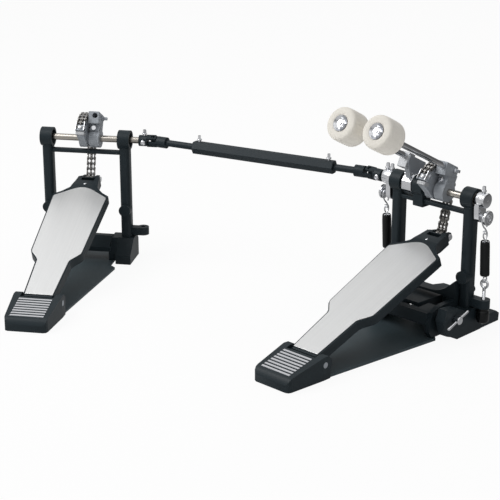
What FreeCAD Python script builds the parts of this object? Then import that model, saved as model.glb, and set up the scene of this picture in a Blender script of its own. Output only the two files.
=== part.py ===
import FreeCAD, Part
import math
import os
import re
import Sketcher

# Double bass drum pedal: a main pedal at the origin, a slave pedal to its left, and their drive shaft.
# Millimetres. X to the player's right along the main axle, Y towards the drum, Z up, floor at Z 0.
V = FreeCAD.Vector
doc = FreeCAD.newDocument("DoublePedal")
sheet = doc.addObject("Spreadsheet::Sheet", "Sizes")

SIZES = [
    # where the slave pedal stands, along the drive shaft
    ("slave_yaw", 33.9), ("drive_yaw", 15.9), ("drive_len", 361.0),
    ("joint_reach", 26.5), ("hub_gap", 4.5), ("slave_reach", 35.75),
    # axle, posts, bearings and the bracket that holds both axle halves
    ("axle_z", 190.0), ("axle_rad", 5.0), ("run_gap", 0.05), ("seat_gap", 0.02), ("play", 0.4),
    ("post_x", 61.0), ("post_wide", 16.0), ("post_deep", 18.5), ("post_foot", 36.0), ("post_round", 5.0),
    ("house_rad", 14.5), ("house_long", 18.5), ("bearing_rad", 11.0), ("bearing_long", 10.0),
    ("bar_z", 170.0), ("bar_y", 2.0), ("bar_high", 6.5), ("bar_deep", 9.0), ("bar_round", 2.0),
    ("bracket_in", 14.0), ("bracket_out", 30.5), ("bracket_hang", 8.0),
    ("boss_z", 80.0), ("boss_rad", 9.0), ("boss_out", 6.0),
    # base plate, foot and heel plate
    ("plate_thick", 4.0), ("plate_back", 252.0), ("plate_back_x", 33.5), ("plate_wide_y", 60.0),
    ("plate_wide_x", 56.0), ("plate_front_x", 46.0), ("plate_front", 30.0),
    ("foot_in", 50.0), ("foot_out", 74.0), ("foot_back", 20.0), ("foot_front", 18.0),
    ("arm_in", 45.0), ("arm_thick", 8.0), ("shoulder_in", 38.0),
    ("heel_long", 64.5), ("heel_end_x", 30.5), ("heel_x", 35.4), ("heel_top", 32.0), ("heel_fall", 12.73),
    ("strip_first", 13.3), ("strip_step", 5.7), ("strip_x", 24.2), ("strip_wide", 3.2), ("strip_high", 0.9),
    # footboard, in its own slope
    ("hinge_y", 261.5), ("hinge_z", 20.5), ("hinge_rad", 4.0), ("knuckle_rad", 7.5), ("knuckle_x", 24.0),
    ("slope", 20.1), ("board_top", 9.0), ("board_thick", 13.0), ("inlay_thick", 1.3),
    ("narrow_x", 20.4), ("waist_x", 23.5), ("flare_x", 37.6), ("shoulder_x", 41.4), ("rim", 2.0),
    ("waist_u", 78.0), ("flare_u", 101.0), ("shoulder_u", 233.0), ("crown_long", 23.5), ("crown_x", 14.0),
    ("neck_x", 17.0), ("neck_long", 47.5), ("neck_top", 6.0), ("neck_low", 11.0), ("prong_x", 12.5),
    ("prong_long", 14.0), ("toe_in", 7.0), ("toe_drop", 3.8), ("toe_bolt_rad", 2.0),
    ("slot_in", 15.5), ("window_x", 10.3), ("window_long", 7.5), ("window_bar", 2.5),
    # rocker: cam, chain and beater socket, turned back by the beater's lean
    ("lean", 27.4), ("rod_offset", 30.5), ("rod_rad", 4.0), ("rod_gap", 0.1), ("rod_end", 2.0),
    ("beater_x", 17.0), ("left_beater_x", 43.0),
    ("cam_hub", 14.0), ("cam_core", 10.5), ("cam_left", 8.0), ("cam_right", 23.0), ("block_in", 7.0),
    ("block_back", 24.5), ("block_front", 5.5), ("clamp_y", 3.0),
    ("angle_bolt_x", 14.5), ("angle_bolt_z", 13.0),
    ("chain_x", 0.8), ("chain_rad", 36.0), ("chain_pitch", 8.0), ("chain_half", 6.4), ("link_half", 3.4),
    ("rim_half", 5.5), ("cam_gap", 0.8), ("eye_room", 1.6),
    ("felt_start", 150.0), ("felt_long", 36.5), ("felt_rad", 23.0), ("felt_round", 4.0),
    ("cup_rad", 11.0), ("cup_deep", 4.0),
    # spring levers and springs
    ("lever_in", 71.5), ("lever_thick", 8.0), ("lever_cap", 16.0), ("lever_rad", 10.4), ("lever_up", 1.5),
    ("lever_drop", 22.0), ("lever_pin", 3.0), ("lever_foot", 8.0), ("roller_rad", 10.3),
    ("spring_x", 85.0), ("eye_y", 6.0), ("eye_z", 72.0), ("eye_ring", 5.2), ("eye_wire", 1.7),
    ("spring_wire", 1.0), ("coil_rad", 4.4), ("coil_pitch", 2.6), ("coil_turns", 18.0), ("coil_start", 9.0),
    ("hook_rad", 4.2), ("loop_rad", 7.2), ("hook_sink", 14.0), ("hook_neck", 14.5), ("hook_tail", 11.0),
    ("wire_gap", 0.3), ("sleeve_rad", 6.6), ("sleeve_wall", 0.8),
    ("ear_low", 38.0), ("ear_high", 50.0), ("ear_rad", 9.0),
    ("stud_rad", 2.4), ("stud_hole", 3.2), ("knob_rad", 8.8),
    # drive shaft, its forks turned so that they stand upright halfway through the stroke
    ("yoke_rad", 8.5), ("yoke_gap", 1.4), ("cross_pin", 1.6), ("fork_turn", 26.6), ("drive_rod", 5.0),
    ("tube_half", 9.0), ("tube_start", 57.0), ("tube_end", 72.0),
    # hoop clamp
    ("lip_front", 60.0), ("lip_high", 12.0), ("jaw_x", 20.0), ("jaw_pin_y", 8.0), ("jaw_pin_z", 33.0),
    ("jaw_pin", 4.0), ("screw_y", 46.0), ("screw_z", 33.0), ("screw_rad", 4.0),
    ("cheek_in", 62.0), ("cheek_out", 76.0), ("cheek_toe", 57.0), ("wing_half", 23.0), ("wing_rad", 2.2),
]
# where the universal joints and the heel end follow from their neighbours
CAP_END = "(lever_in + lever_cap)"
JOINT_MAIN = f"({CAP_END} + joint_reach)"
JOINT_SLAVE = "(post_x + house_long / 2 + slave_reach)"
HEEL_END = "(hinge_y + heel_long)"
# places along the footboard that follow from its lengths
APEX = "(shoulder_u + crown_long)"
NECK_END = f"({APEX} + neck_long)"
TOE = f"({NECK_END} - toe_in)"
SLOT_BACK = f"({NECK_END} - slot_in)"
for row, (alias, value) in enumerate(SIZES, 1):
    sheet.set(f"A{row}", alias)
    sheet.set(f"B{row}", str(value))
    sheet.setAlias(f"B{row}", alias)
doc.recompute()
NAMES = {alias for alias, _ in SIZES}
WORD = re.compile(r"[a-z_][a-z_0-9]*")


def size(alias):
    """The number that the sheet holds for one named size."""
    return float(sheet.get(alias))


def refs(formula):
    """A formula in named sizes, as an expression on the sheet."""
    return WORD.sub(lambda m: "Sizes." + m.group() if m.group() in NAMES else m.group(), str(formula))


def bind(obj, prop, formula):
    obj.setExpression(prop, refs(formula))


def place(obj, x="0", y="0", z="0", axis=None, turn=None):
    """Binds an object's place, and its turn about a fixed axis when one is given."""
    if axis is not None:
        obj.Placement = FreeCAD.Placement(V(0, 0, 0), FreeCAD.Rotation(V(*axis), 1.0))
        bind(obj, "Placement.Rotation.Angle", turn)
    for name, formula in (("x", x), ("y", y), ("z", z)):
        bind(obj, "Placement.Base." + name, formula)
    return obj


def box(name, x0, x1, y0, y1, z0, z1):
    obj = doc.addObject("Part::Box", name)
    bind(obj, "Length", f"({x1}) - ({x0})")
    bind(obj, "Width", f"({y1}) - ({y0})")
    bind(obj, "Height", f"({z1}) - ({z0})")
    return place(obj, x0, y0, z0)


def rod_along(name, axis, rad, start, end, a="0", b="0"):
    """A cylinder along one axis from start to end; a and b place it on the other two, in X, Y, Z order."""
    obj = doc.addObject("Part::Cylinder", name)
    bind(obj, "Radius", rad)
    bind(obj, "Height", f"({end}) - ({start})")
    turns = {"x": ((0, 1, 0), 90), "y": ((-1, 0, 0), 90), "z": ((0, 0, 1), 0)}
    about, angle = turns[axis]
    obj.Placement = FreeCAD.Placement(V(0, 0, 0), FreeCAD.Rotation(V(*about), angle))
    at = {"x": (start, a, b), "y": (a, start, b), "z": (a, b, start)}[axis]
    for letter, formula in zip("xyz", at):
        bind(obj, "Placement.Base." + letter, formula)
    return obj


def profile(name, plane, points, start, depth):
    """A body padded from a closed outline: XY rises along Z, YZ runs along X, XZ runs back along Y."""
    body = doc.addObject("PartDesign::Body", name)
    sketch = body.newObject("Sketcher::SketchObject", name + "_outline")
    support = next(f for f in body.Origin.OriginFeatures if f.Role == plane)
    sketch.AttachmentSupport = (support, [""])
    sketch.MapMode = "FlatFace"
    bind(sketch, "AttachmentOffset.Base.z", start)
    known = {alias: size(alias) for alias in NAMES}
    flat = []
    for pair in points:
        flat.append(tuple(number(formula, known) for formula in pair))
    count = len(points)
    for i in range(count):
        a = flat[i]
        b = flat[(i + 1) % count]
        sketch.addGeometry(Part.LineSegment(V(a[0], a[1], 0), V(b[0], b[1], 0)))
    for i in range(count):
        sketch.addConstraint(Sketcher.Constraint("Coincident", i, 2, (i + 1) % count, 1))
    for i, pair in enumerate(points):
        for kind, formula, at in (("DistanceX", pair[0], flat[i][0]), ("DistanceY", pair[1], flat[i][1])):
            index = sketch.addConstraint(Sketcher.Constraint(kind, i, 1, at))
            bind(sketch, f"Constraints[{index}]", formula)
    pad = body.newObject("PartDesign::Pad", name + "_pad")
    pad.Profile = sketch
    bind(pad, "Length", depth)
    return body


class Terms:
    """Reads one formula of numbers, named sizes, + - * / and brackets, and sin or cos of degrees."""

    def __init__(self, text, known):
        self.parts = re.findall(r"[a-z_][a-z_0-9]*|\d+\.?\d*|[-+*/()]", text)
        self.known = known
        self.at = 0

    def take(self):
        self.at += 1
        return self.parts[self.at - 1]

    def ahead(self):
        return self.parts[self.at] if self.at < len(self.parts) else ""

    def total(self):
        value = self.product()
        while self.ahead() in ("+", "-"):
            value += self.product() if self.take() == "+" else -self.product()
        return value

    def product(self):
        value = self.single()
        while self.ahead() in ("*", "/"):
            if self.take() == "*":
                value *= self.single()
            else:
                value /= self.single()
        return value

    def single(self):
        part = self.take()
        if part == "-":
            return -self.single()
        if part == "(":
            value = self.total()
            self.take()
            return value
        if part in ("sin", "cos"):
            self.take()
            value = math.radians(self.total())
            self.take()
            return math.sin(value) if part == "sin" else math.cos(value)
        return self.known[part] if part in self.known else float(part)


def number(formula, known):
    return Terms(str(formula), known).total()


def fuse(name, shapes):
    obj = doc.addObject("Part::MultiFuse", name)
    obj.Shapes = shapes
    obj.Refine = True
    return obj


def cut(name, base, tools):
    obj = doc.addObject("Part::Cut", name)
    obj.Base = base
    obj.Tool = tools[0] if len(tools) == 1 else fuse(name + "_tools", tools)
    return obj


def common(name, shapes):
    obj = doc.addObject("Part::MultiCommon", name)
    obj.Shapes = shapes
    return obj


def rounded(name, base, radius, pick):
    """Rounds the edges of a finished shape that pick accepts."""
    doc.recompute()
    obj = doc.addObject("Part::Fillet", name)
    obj.Base = base
    found = [i for i, edge in enumerate(base.Shape.Edges, 1) if pick(edge)]
    obj.Edges = [(i, size(radius), size(radius)) for i in found]
    return obj


def feature(name, shape):
    obj = doc.addObject("Part::Feature", name)
    obj.Shape = shape
    return obj


NODES = []
SLAVE_X = f"0 - {JOINT_MAIN} - drive_len * cos(drive_yaw) - {JOINT_SLAVE} * cos(slave_yaw)"
SLAVE_Y = f"0 - drive_len * sin(drive_yaw) - {JOINT_SLAVE} * sin(slave_yaw)"


def node(name, shapes, where="main"):
    """One named part of the pedal, standing where its pedal or the drive shaft stands."""
    obj = doc.addObject("Part::Compound", name)
    obj.Links = shapes
    obj.Label = name
    if where == "slave":
        place(obj, SLAVE_X, SLAVE_Y, "0", (0, 0, 1), "slave_yaw")
    elif where == "drive":
        place(obj, f"0 - {JOINT_MAIN}", "0", "axle_z", (0, 0, 1), "drive_yaw")
    NODES.append(obj)
    return obj


def upright(edge):
    """True for a straight edge along Z."""
    if edge.Curve.TypeId != "Part::GeomLine":
        return False
    return abs(edge.tangentAt(edge.FirstParameter).z) > 0.99


def along_x(edge):
    if edge.Curve.TypeId != "Part::GeomLine":
        return False
    return abs(edge.tangentAt(edge.FirstParameter).x) > 0.99


# Rounded wire and chain shapes, made point by point
def biarc(p0, t0, p1, t1):
    """Two arcs that leave p0 along t0 and reach p1 along t1."""
    v = p1 - p0
    t = t0 + t1
    spread = 2.0 * (1.0 - t0.dot(t1))
    if spread < 1e-9:
        return [Part.LineSegment(p0, p1).toShape()]
    lead = v.dot(t)
    d = (-lead + math.sqrt(lead * lead + spread * v.dot(v))) / spread
    q0 = p0 + t0 * d
    q1 = p1 - t1 * d
    joint = (q0 + q1) * 0.5
    edges = []
    for start, corner, end in ((p0, q0, joint), (joint, q1, p1)):
        middle = (start + end) * 0.5
        weight = (middle - start).Length / (corner - start).Length
        if weight > 1.0 - 1e-9:
            edges.append(Part.LineSegment(start, end).toShape())
        else:
            through = (middle + corner * weight) * (1.0 / (1.0 + weight))
            edges.append(Part.Arc(start, through, end).toShape())
    return edges


def tube(points, tangents, rad):
    """One unbroken round wire through the points."""
    edges = []
    for i in range(len(points) - 1):
        edges += biarc(points[i], tangents[i], points[i + 1], tangents[i + 1])
    path = Part.Wire(edges)
    ring = Part.Wire([Part.makeCircle(rad, points[0], tangents[0])])
    return path.makePipeShell([ring], True, False)


def smooth(points):
    """Unit directions along a row of points."""
    out = []
    for i in range(len(points)):
        a = points[max(0, i - 1)]
        b = points[min(len(points) - 1, i + 1)]
        out.append((b - a).normalize())
    return out


def coil_points():
    """The coil of one spring with its lower hook, up its own Z from the middle of the eye's top bar."""
    rad = size("coil_rad")
    pitch = size("coil_pitch")
    start = size("coil_start")
    hook = size("hook_rad")
    middle = hook - size("spring_wire") - size("eye_wire") - size("wire_gap")
    points = []
    for degree in range(-250, 61, 30):
        a = math.radians(degree)
        points.append(V(0, hook * math.cos(a), middle + hook * math.sin(a)))
    points.append(V(0, 1.5, middle + hook + 1.4))
    points.append(V(1.6, 3.0, start - 1.3))
    tangents = smooth(points)
    rise = pitch / (2 * math.pi)
    for i in range(int(round(size("coil_turns") * 4)) + 1):
        a = 0.9 + i * math.pi / 2
        points.append(V(rad * math.sin(a), rad * math.cos(a), start + pitch * i / 4))
        tangents.append(V(rad * math.cos(a), -rad * math.sin(a), rise).normalize())
    return points, tangents


def least_gap(points, rad):
    """The least clear space between turns of a wire, measured on points along it."""
    best = 1e9
    for i in range(len(points)):
        for j in range(i + 4, len(points)):
            best = min(best, (points[i] - points[j]).Length)
    return best - 2 * rad


def spring_rise():
    """How far the lever's pin lies above the eye's top bar, and how long the spring between them is."""
    rise = size("axle_z") - size("lever_drop") - size("eye_z") - size("eye_ring")
    return rise, math.hypot(size("eye_y"), rise)


def hook_points():
    """The upper hook of one spring: a shank from inside the coil and a loop over the lever's pin."""
    length = spring_rise()[1]
    top = size("coil_start") + size("coil_pitch") * size("coil_turns")
    ring = size("loop_rad")
    middle = length + size("lever_pin") + size("wire_gap") + size("spring_wire") - ring
    neck = size("hook_neck")
    points = [V(0, 0, top - size("hook_sink")), V(0, 0, top + neck * 0.38)]
    points.append(V(0, -0.3, top + neck * 0.62))
    points.append(V(0, -2.6, top + neck))
    points.append(V(0, -5.6, middle - 5.6))
    for degree in range(-10, 191, 25):
        a = math.radians(degree)
        points.append(V(0, -ring * math.cos(a), middle + ring * math.sin(a)))
    points.append(V(0, 5.4, middle - 6.2))
    points.append(V(0, 3.0, middle - size("hook_tail")))
    return points


def bar_x(rad, start, end, y, z):
    return Part.makeCylinder(rad, end - start, V(start, y, z), V(1, 0, 0))


def stadium(length, half, thick, x):
    """A flat link plate along Y from 0 to length, with round ends."""
    a = V(x, 0, half)
    b = V(x, length, half)
    c = V(x, length, -half)
    d = V(x, 0, -half)
    wire = Part.Wire([
        Part.LineSegment(a, b).toShape(),
        Part.Arc(b, V(x, length + half, 0), c).toShape(),
        Part.LineSegment(c, d).toShape(),
        Part.Arc(d, V(x, -half, 0), a).toShape(),
    ])
    return Part.Face(wire).extrude(V(thick, 0, 0))


def link_shapes(pitch):
    """One inner and one outer link of the double chain, and the end link with its eye, along Y from a pin."""
    half = size("link_half")
    outer = size("chain_half")
    pin = 1.1
    hole = pin + size("play") * 0.75
    thin = 0.9
    aside = size("eye_room")
    eye = size("toe_bolt_rad") + aside + 0.5

    def inner(end):
        rows = []
        for low, high in ((1.0, outer - 1.3), (1.3 - outer, -1.0)):
            row = stadium(pitch, half, thin, low).fuse(stadium(pitch, half, thin, high - thin))
            row = row.fuse(bar_x(2.3, low + thin, high - thin, pitch, 0))
            if end:
                row = row.fuse(bar_x(eye + 1.3, low, high, 0, aside))
                bores = ((pitch, 0, hole), (0, aside, eye))
            else:
                row = row.fuse(bar_x(2.3, low + thin, high - thin, 0, 0))
                bores = ((pitch, 0, hole), (0, 0, hole))
            for at, up, bore in bores:
                row = row.cut(bar_x(bore, low - 1, high + 1, at, up))
            rows.append(row.removeSplitter())
        return rows

    body = stadium(pitch, half, thin, -thin / 2)
    for x in (outer - thin, -outer):
        body = body.fuse(stadium(pitch, half, thin, x))
    for at in (0, pitch):
        body = body.fuse(bar_x(pin, -outer, outer, at, 0))
    return inner(False), [body.removeSplitter()], inner(True)


def chain_pins():
    """The chain's pins in a pedal's Y and Z, from the toe bolt up the straight run and over the cam."""
    rad = size("chain_rad")
    up = size("axle_z")
    slope = math.radians(size("slope"))
    u = number(TOE, {alias: size(alias) for alias in NAMES})
    drop = size("toe_drop")
    toe_y = u * math.cos(slope) + drop * math.sin(slope) - size("hinge_y")
    toe_z = u * math.sin(slope) - drop * math.cos(slope) + size("hinge_z")
    away = math.hypot(toe_y, toe_z - up)
    run = math.sqrt(away * away - rad * rad)
    touch = math.atan2(toe_z - up, toe_y) + math.acos(rad / away)
    high_y = rad * math.cos(touch)
    high_z = up + rad * math.sin(touch)
    count = max(2, 2 * round(run / size("chain_pitch") / 2))
    pins = []
    for i in range(count + 1):
        share = i / count
        pins.append((toe_y + (high_y - toe_y) * share, toe_z + (high_z - toe_z) * share))
    step = 2 * math.asin(size("chain_pitch") / 2 / rad)
    for i in range(1, 13):
        a = touch + step * i
        pins.append((rad * math.cos(a), up + rad * math.sin(a)))
    print(f"chain run {run:.3f} mm for {count} links, leaves the cam at {math.degrees(touch):.3f} deg")
    return pins, run, count


PINS, RUN, RUN_LINKS = chain_pins()
RUN_SHAPES = link_shapes(RUN / RUN_LINKS)
CAM_SHAPES = link_shapes(size("chain_pitch"))


def links(name, first, last):
    """The chain's links first to last, as one object in a pedal's own place."""
    solids = []
    for i in range(first, last + 1):
        a = PINS[i]
        b = PINS[i + 1]
        turn = math.degrees(math.atan2(b[1] - a[1], b[0] - a[0]))
        where = FreeCAD.Placement(V(-size("chain_x"), a[0], a[1]), FreeCAD.Rotation(V(1, 0, 0), turn))
        inner, outer, end = RUN_SHAPES if i < RUN_LINKS else CAM_SHAPES
        for shape in end if i == 0 else (inner if i % 2 == 0 else outer):
            copy = shape.copy()
            copy.Placement = where
            solids.append(copy)
    return feature(name, Part.Compound(solids))


# Frame
def post(name, side, ear, where):
    """One oval post with its bearing housing, the boss on its heel side, and an ear where asked."""
    s = "" if side > 0 else "0 - "
    mid = f"{s}post_x"
    column = box(
        name + "_column", f"{mid} - post_wide / 2", f"{mid} + post_wide / 2",
        "0 - post_deep / 2", "post_deep / 2", "post_foot", "axle_z",
    )
    shaped = rounded(name + "_oval", column, "post_round", upright)
    ends = (f"{mid} - house_long / 2", f"{mid} + house_long / 2")
    house = rod_along(name + "_house", "x", "house_rad", *ends, "0", "axle_z")
    knob = rod_along(name + "_boss", "y", "boss_rad", "0 - post_deep / 2 - boss_out", "0", mid, "boss_z")
    small = rod_along(name + "_lug", "y", "boss_rad * 0.6", "0", "post_deep / 2 + 3", mid, "boss_z - 22")
    parts = [shaped, house, knob, small]
    if ear:
        reach = ("post_x", "spring_x") if side > 0 else ("0 - spring_x", "0 - post_x")
        depth = ("eye_y - ear_rad", "eye_y + ear_rad * 0.5")
        parts.append(box(name + "_arm", *reach, *depth, "ear_low", "ear_high"))
        parts.append(rod_along(name + "_ear", "z", "ear_rad", "ear_low", "ear_high", f"{s}spring_x", "eye_y"))
    whole = fuse(name + "_whole", parts)
    bore = (f"{mid} - house_long", f"{mid} + house_long")
    tools = [rod_along(name + "_bore", "x", "bearing_rad", *bore, "0", "axle_z")]
    if ear:
        through = ("ear_low - 2", "ear_high + 2")
        tools.append(rod_along(name + "_hole", "z", "stud_hole", *through, f"{s}spring_x", "eye_y"))
    return node(name, [cut(name + "_cut", whole, tools)], where)


def crossbar(name, where):
    inner = "post_x - post_wide / 2"
    bar = box(
        name + "_bar", f"0 - ({inner})", inner, "0 - bar_y - bar_deep / 2", "bar_deep / 2 - bar_y",
        "bar_z - bar_high / 2", "bar_z + bar_high / 2",
    )
    bar = rounded(name + "_bar_soft", bar, "bar_round", along_x)
    if where == "main":
        ends = ("0 - bracket_out", "0 - bracket_in")
        ring = rod_along("center_ring", "x", "cam_hub", *ends, "0", "axle_z")
        lobe = box("center_lobe", *ends, "0 - 9.5", "9.5", "bar_z - bracket_hang", "axle_z - 6")
        lobe = rounded("center_lobe_soft", lobe, "bar_round", along_x)
        through = ("0 - bracket_out - 5", "5 - bracket_in")
        bore = rod_along("center_bore", "x", "axle_rad + run_gap", *through, "0", "axle_z")
        bar = cut("center_bracket", fuse("center_whole", [bar, ring, lobe]), [bore])
    node(name + "_crossbar", [bar], where)


def bearings(name, where):
    rings = []
    for tag, mid in (("left", "0 - post_x"), ("right", "post_x")):
        ends = (f"{mid} - bearing_long / 2", f"{mid} + bearing_long / 2")
        outer = rod_along(f"{name}_{tag}_race", "x", "bearing_rad - seat_gap", *ends, "0", "axle_z")
        reach = (f"{mid} - house_long", f"{mid} + house_long")
        hole = rod_along(f"{name}_{tag}_race_hole", "x", "axle_rad + run_gap", *reach, "0", "axle_z")
        rings.append(cut(f"{name}_{tag}_bearing", outer, [hole]))
    node(name + "_bearings", rings, where)


def base_plate(name, where):
    """The floor plate; on the main pedal it carries the hoop's lip and the jaw's lugs."""
    outline = [
        ("0 - plate_back_x", "0 - plate_back"), ("plate_back_x", "0 - plate_back"),
        ("plate_wide_x", "0 - plate_wide_y"), ("plate_front_x", "0 - plate_wide_y + 10"),
        ("plate_front_x", "plate_front"), ("0 - plate_front_x", "plate_front"),
        ("0 - plate_front_x", "0 - plate_wide_y + 10"), ("0 - plate_wide_x", "0 - plate_wide_y"),
    ]
    plate = profile(name + "_plate", "XY_Plane", outline, "0", "plate_thick")
    if where == "main":
        across = ("0 - plate_front_x", "plate_front_x")
        lip = box("clamp_lip", *across, "plate_front - 2", "lip_front", "0", "lip_high")
        lugs = []
        lug_ends = (("left", "0 - jaw_x - 9", "0 - jaw_x - play"), ("right", "jaw_x + play", "jaw_x + 9"))
        for tag, *ends in lug_ends:
            side = ("jaw_pin_y - 8", "jaw_pin_y + 8", "plate_thick / 2", "jaw_pin_z + 8")
            lugs.append(box(f"clamp_lug_{tag}", *ends, *side))
        reach = ("0 - jaw_x - 20", "jaw_x + 20")
        hole = rod_along("clamp_lug_hole", "x", "jaw_pin + run_gap", *reach, "jaw_pin_y", "jaw_pin_z")
        plate = cut("main_plate_cut", fuse("main_plate_whole", [plate, lip] + lugs), [hole])
    node(name + "_base_plate", [plate], where)


def foot(name, where):
    """A block under each post, joined by arms and a yoke on the main pedal, and else by a sloped plate."""
    parts = []
    if where == "main":
        side_line = [
            ("4", "46"), ("4", "30"), ("0 - 34", "plate_thick"), ("0 - 64", "plate_thick"), ("0 - 70", "12"),
            ("0 - 70", "28"), ("0 - 64", "40"), ("0 - 52", "45"), ("0 - 40", "46"),
        ]
        for tag, low in (("left", "0 - arm_in - arm_thick"), ("right", "arm_in")):
            parts.append(profile(f"{name}_{tag}_arm", "YZ_Plane", side_line, low, "arm_thick"))
        parts.append(box(name + "_cross", "0 - arm_in - 2", "arm_in + 2", "0 - 70", "0 - 36", "22", "40"))
        rise = [
            ("12", "51"), ("20", "52"), ("28", "54.5"), ("36", "59"), ("43", "65"), ("48", "70"),
            ("arm_in + arm_thick", "74"), ("arm_in + arm_thick", "40"), ("42", "40"), ("38", "47.5"),
        ]
        yoke = rise + [(f"0 - ({x})", z) for x, z in reversed(rise)]
        parts.append(profile(name + "_yoke", "XZ_Plane", yoke, "0 - 2", "18"))
    else:
        shoulder = [
            ("0 - 30", "plate_thick"), ("12", "plate_thick"), ("12", "post_foot"), ("0 - 14", "post_foot"),
            ("0 - 30", "16"),
        ]
        for tag, low in (("left", "0 - foot_in"), ("right", "shoulder_in")):
            label = f"{name}_{tag}_shoulder"
            parts.append(profile(label, "YZ_Plane", shoulder, low, "foot_in - shoulder_in"))
        slab = [("0 - 2", "18"), ("0 - 2", "38"), ("0 - 12", "38"), ("0 - 32", "25"), ("0 - 32", "18")]
        parts.append(profile(name + "_cross", "YZ_Plane", slab, "0 - shoulder_in - 2", "shoulder_in * 2 + 4"))
    block = [
        ("0 - foot_back - 16", "0"), ("foot_front", "0"), ("foot_front", "post_foot - 8"),
        ("foot_front - 6", "post_foot"), ("0 - foot_back + 8", "post_foot"), ("0 - foot_back - 16", "14"),
    ]
    for tag, low in (("left", "0 - foot_out"), ("right", "foot_in")):
        parts.append(profile(f"{name}_{tag}_block", "YZ_Plane", block, low, "foot_out - foot_in"))
    if where == "main":
        cheek = [
            ("0 - 64", "50"), ("0 - 70", "34"), ("0 - 62", "12"), ("0 - 34", "2"), ("cheek_toe", "2"),
            ("cheek_toe + 1", "13"), ("cheek_toe - 6", "18"), ("32", "18"), ("24", "34"), ("8", "post_foot"),
            ("0 - 20", "post_foot"), ("0 - 40", "47"),
        ]
        parts.append(profile("clamp_cheek", "YZ_Plane", cheek, "cheek_in", "cheek_out - cheek_in"))
    whole = fuse(name + "_foot_whole", parts)
    if where == "main":
        reach = ("jaw_x", "cheek_out + 5")
        bore = rod_along("clamp_bore", "x", "screw_rad + play", *reach, "0 - screw_y", "screw_z")
        notch = box("clamp_notch", "0 - jaw_x - 4", "jaw_x + 4", "0 - 58", "0 - 30", "10", "60")
        whole = cut(name + "_foot_cut", whole, [bore, notch])
    node(name + "_foot_casting", [whole], where)


STRIPS = 8


def heel(name, where):
    """The heel plate with its hinge slot, the hinge pin, and the grip strips on its slope."""
    fall = "sin(heel_fall) / cos(heel_fall)"
    side = [
        (f"0 - {HEEL_END}", "0"), (f"0 - {HEEL_END}", "10"),
        (f"2 - {HEEL_END}", "15"), (f"5 - {HEEL_END}", "18.2"),
        (f"9 - {HEEL_END}", f"heel_top - (heel_long - 11) * {fall}"),
        ("0 - hinge_y - 2", "heel_top"), ("0 - hinge_y + 6", "heel_top - 0.5"),
        ("0 - hinge_y + 11", "heel_top - 5"), ("0 - hinge_y + 12.5", "18"),
        ("0 - plate_back", "12"), ("0 - plate_back", "0"),
    ]
    slab = profile(name + "_heel_side", "YZ_Plane", side, "0 - 60", "120")
    half = [
        ("heel_end_x - 5", f"0 - {HEEL_END}"), ("heel_end_x - 1", f"2 - {HEEL_END}"),
        ("heel_end_x + 0.4", f"6 - {HEEL_END}"), ("heel_x", "0 - hinge_y - 4"),
        ("heel_x", "0 - hinge_y + 14"),
    ]
    plan = profile(name + "_heel_plan", "XY_Plane", mirrored(half), "0 - 5", "80")
    whole = common(name + "_heel_whole", [slab, plan])
    slot = box(
        name + "_heel_slot", "0 - knuckle_x - play", "knuckle_x + play", "0 - hinge_y - knuckle_rad - 1.5",
        "0 - hinge_y + 60", "hinge_z - knuckle_rad - 1.5", "80",
    )
    hinge = ("0 - hinge_y", "hinge_z")
    hole = rod_along(name + "_heel_hole", "x", "hinge_rad + seat_gap", "0 - 60", "60", *hinge)
    node(name + "_heel_plate", [cut(name + "_heel_cut", whole, [slot, hole])], where)
    pin = rod_along(name + "_pin", "x", "hinge_rad", "0 - heel_x", "heel_x", *hinge)
    node(name + "_hinge_pin", [pin], where)
    strips = []
    for i in range(STRIPS):
        along = f"(strip_first + strip_step * {i})"
        strip = box(f"{name}_strip_{i}", "0 - strip_x", "strip_x", "0", "strip_wide", "0", "strip_high")
        y = f"0 - hinge_y - {along} - strip_wide / 2"
        z = f"heel_top - ({along} - 2 + strip_wide / 2) * {fall}"
        strips.append(place(strip, "0 - strip_x", y, z, (1, 0, 0), "heel_fall"))
    node(name + "_heel_strips", strips, where)


def mirrored(half):
    """A closed outline from its right half, heel first."""
    return half + [(f"0 - ({x})", u) for x, u in reversed(half)]


# Footboard, built flat with its heel hinge at the middle and then raised to its slope
def board_outline(extra):
    """Half of the board's edge from heel to shoulder, wider than the inlay by the rim."""
    return [
        (f"narrow_x + {extra} * 1.2", "4"), (f"waist_x + {extra} * 1.2", "waist_u"),
        (f"waist_x + {extra} + 2.2", "waist_u + 5.5"),
        (f"(waist_x + flare_x) / 2 + {extra}", "(waist_u + flare_u) / 2"),
        (f"flare_x + {extra} - 2.4", "flare_u - 5.5"), (f"flare_x + {extra}", "flare_u + 1"),
        (f"shoulder_x + {extra}", "shoulder_u - 2"),
    ]


def raised(obj):
    return place(obj, "0", "0 - hinge_y", "hinge_z", (1, 0, 0), "slope")


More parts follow.
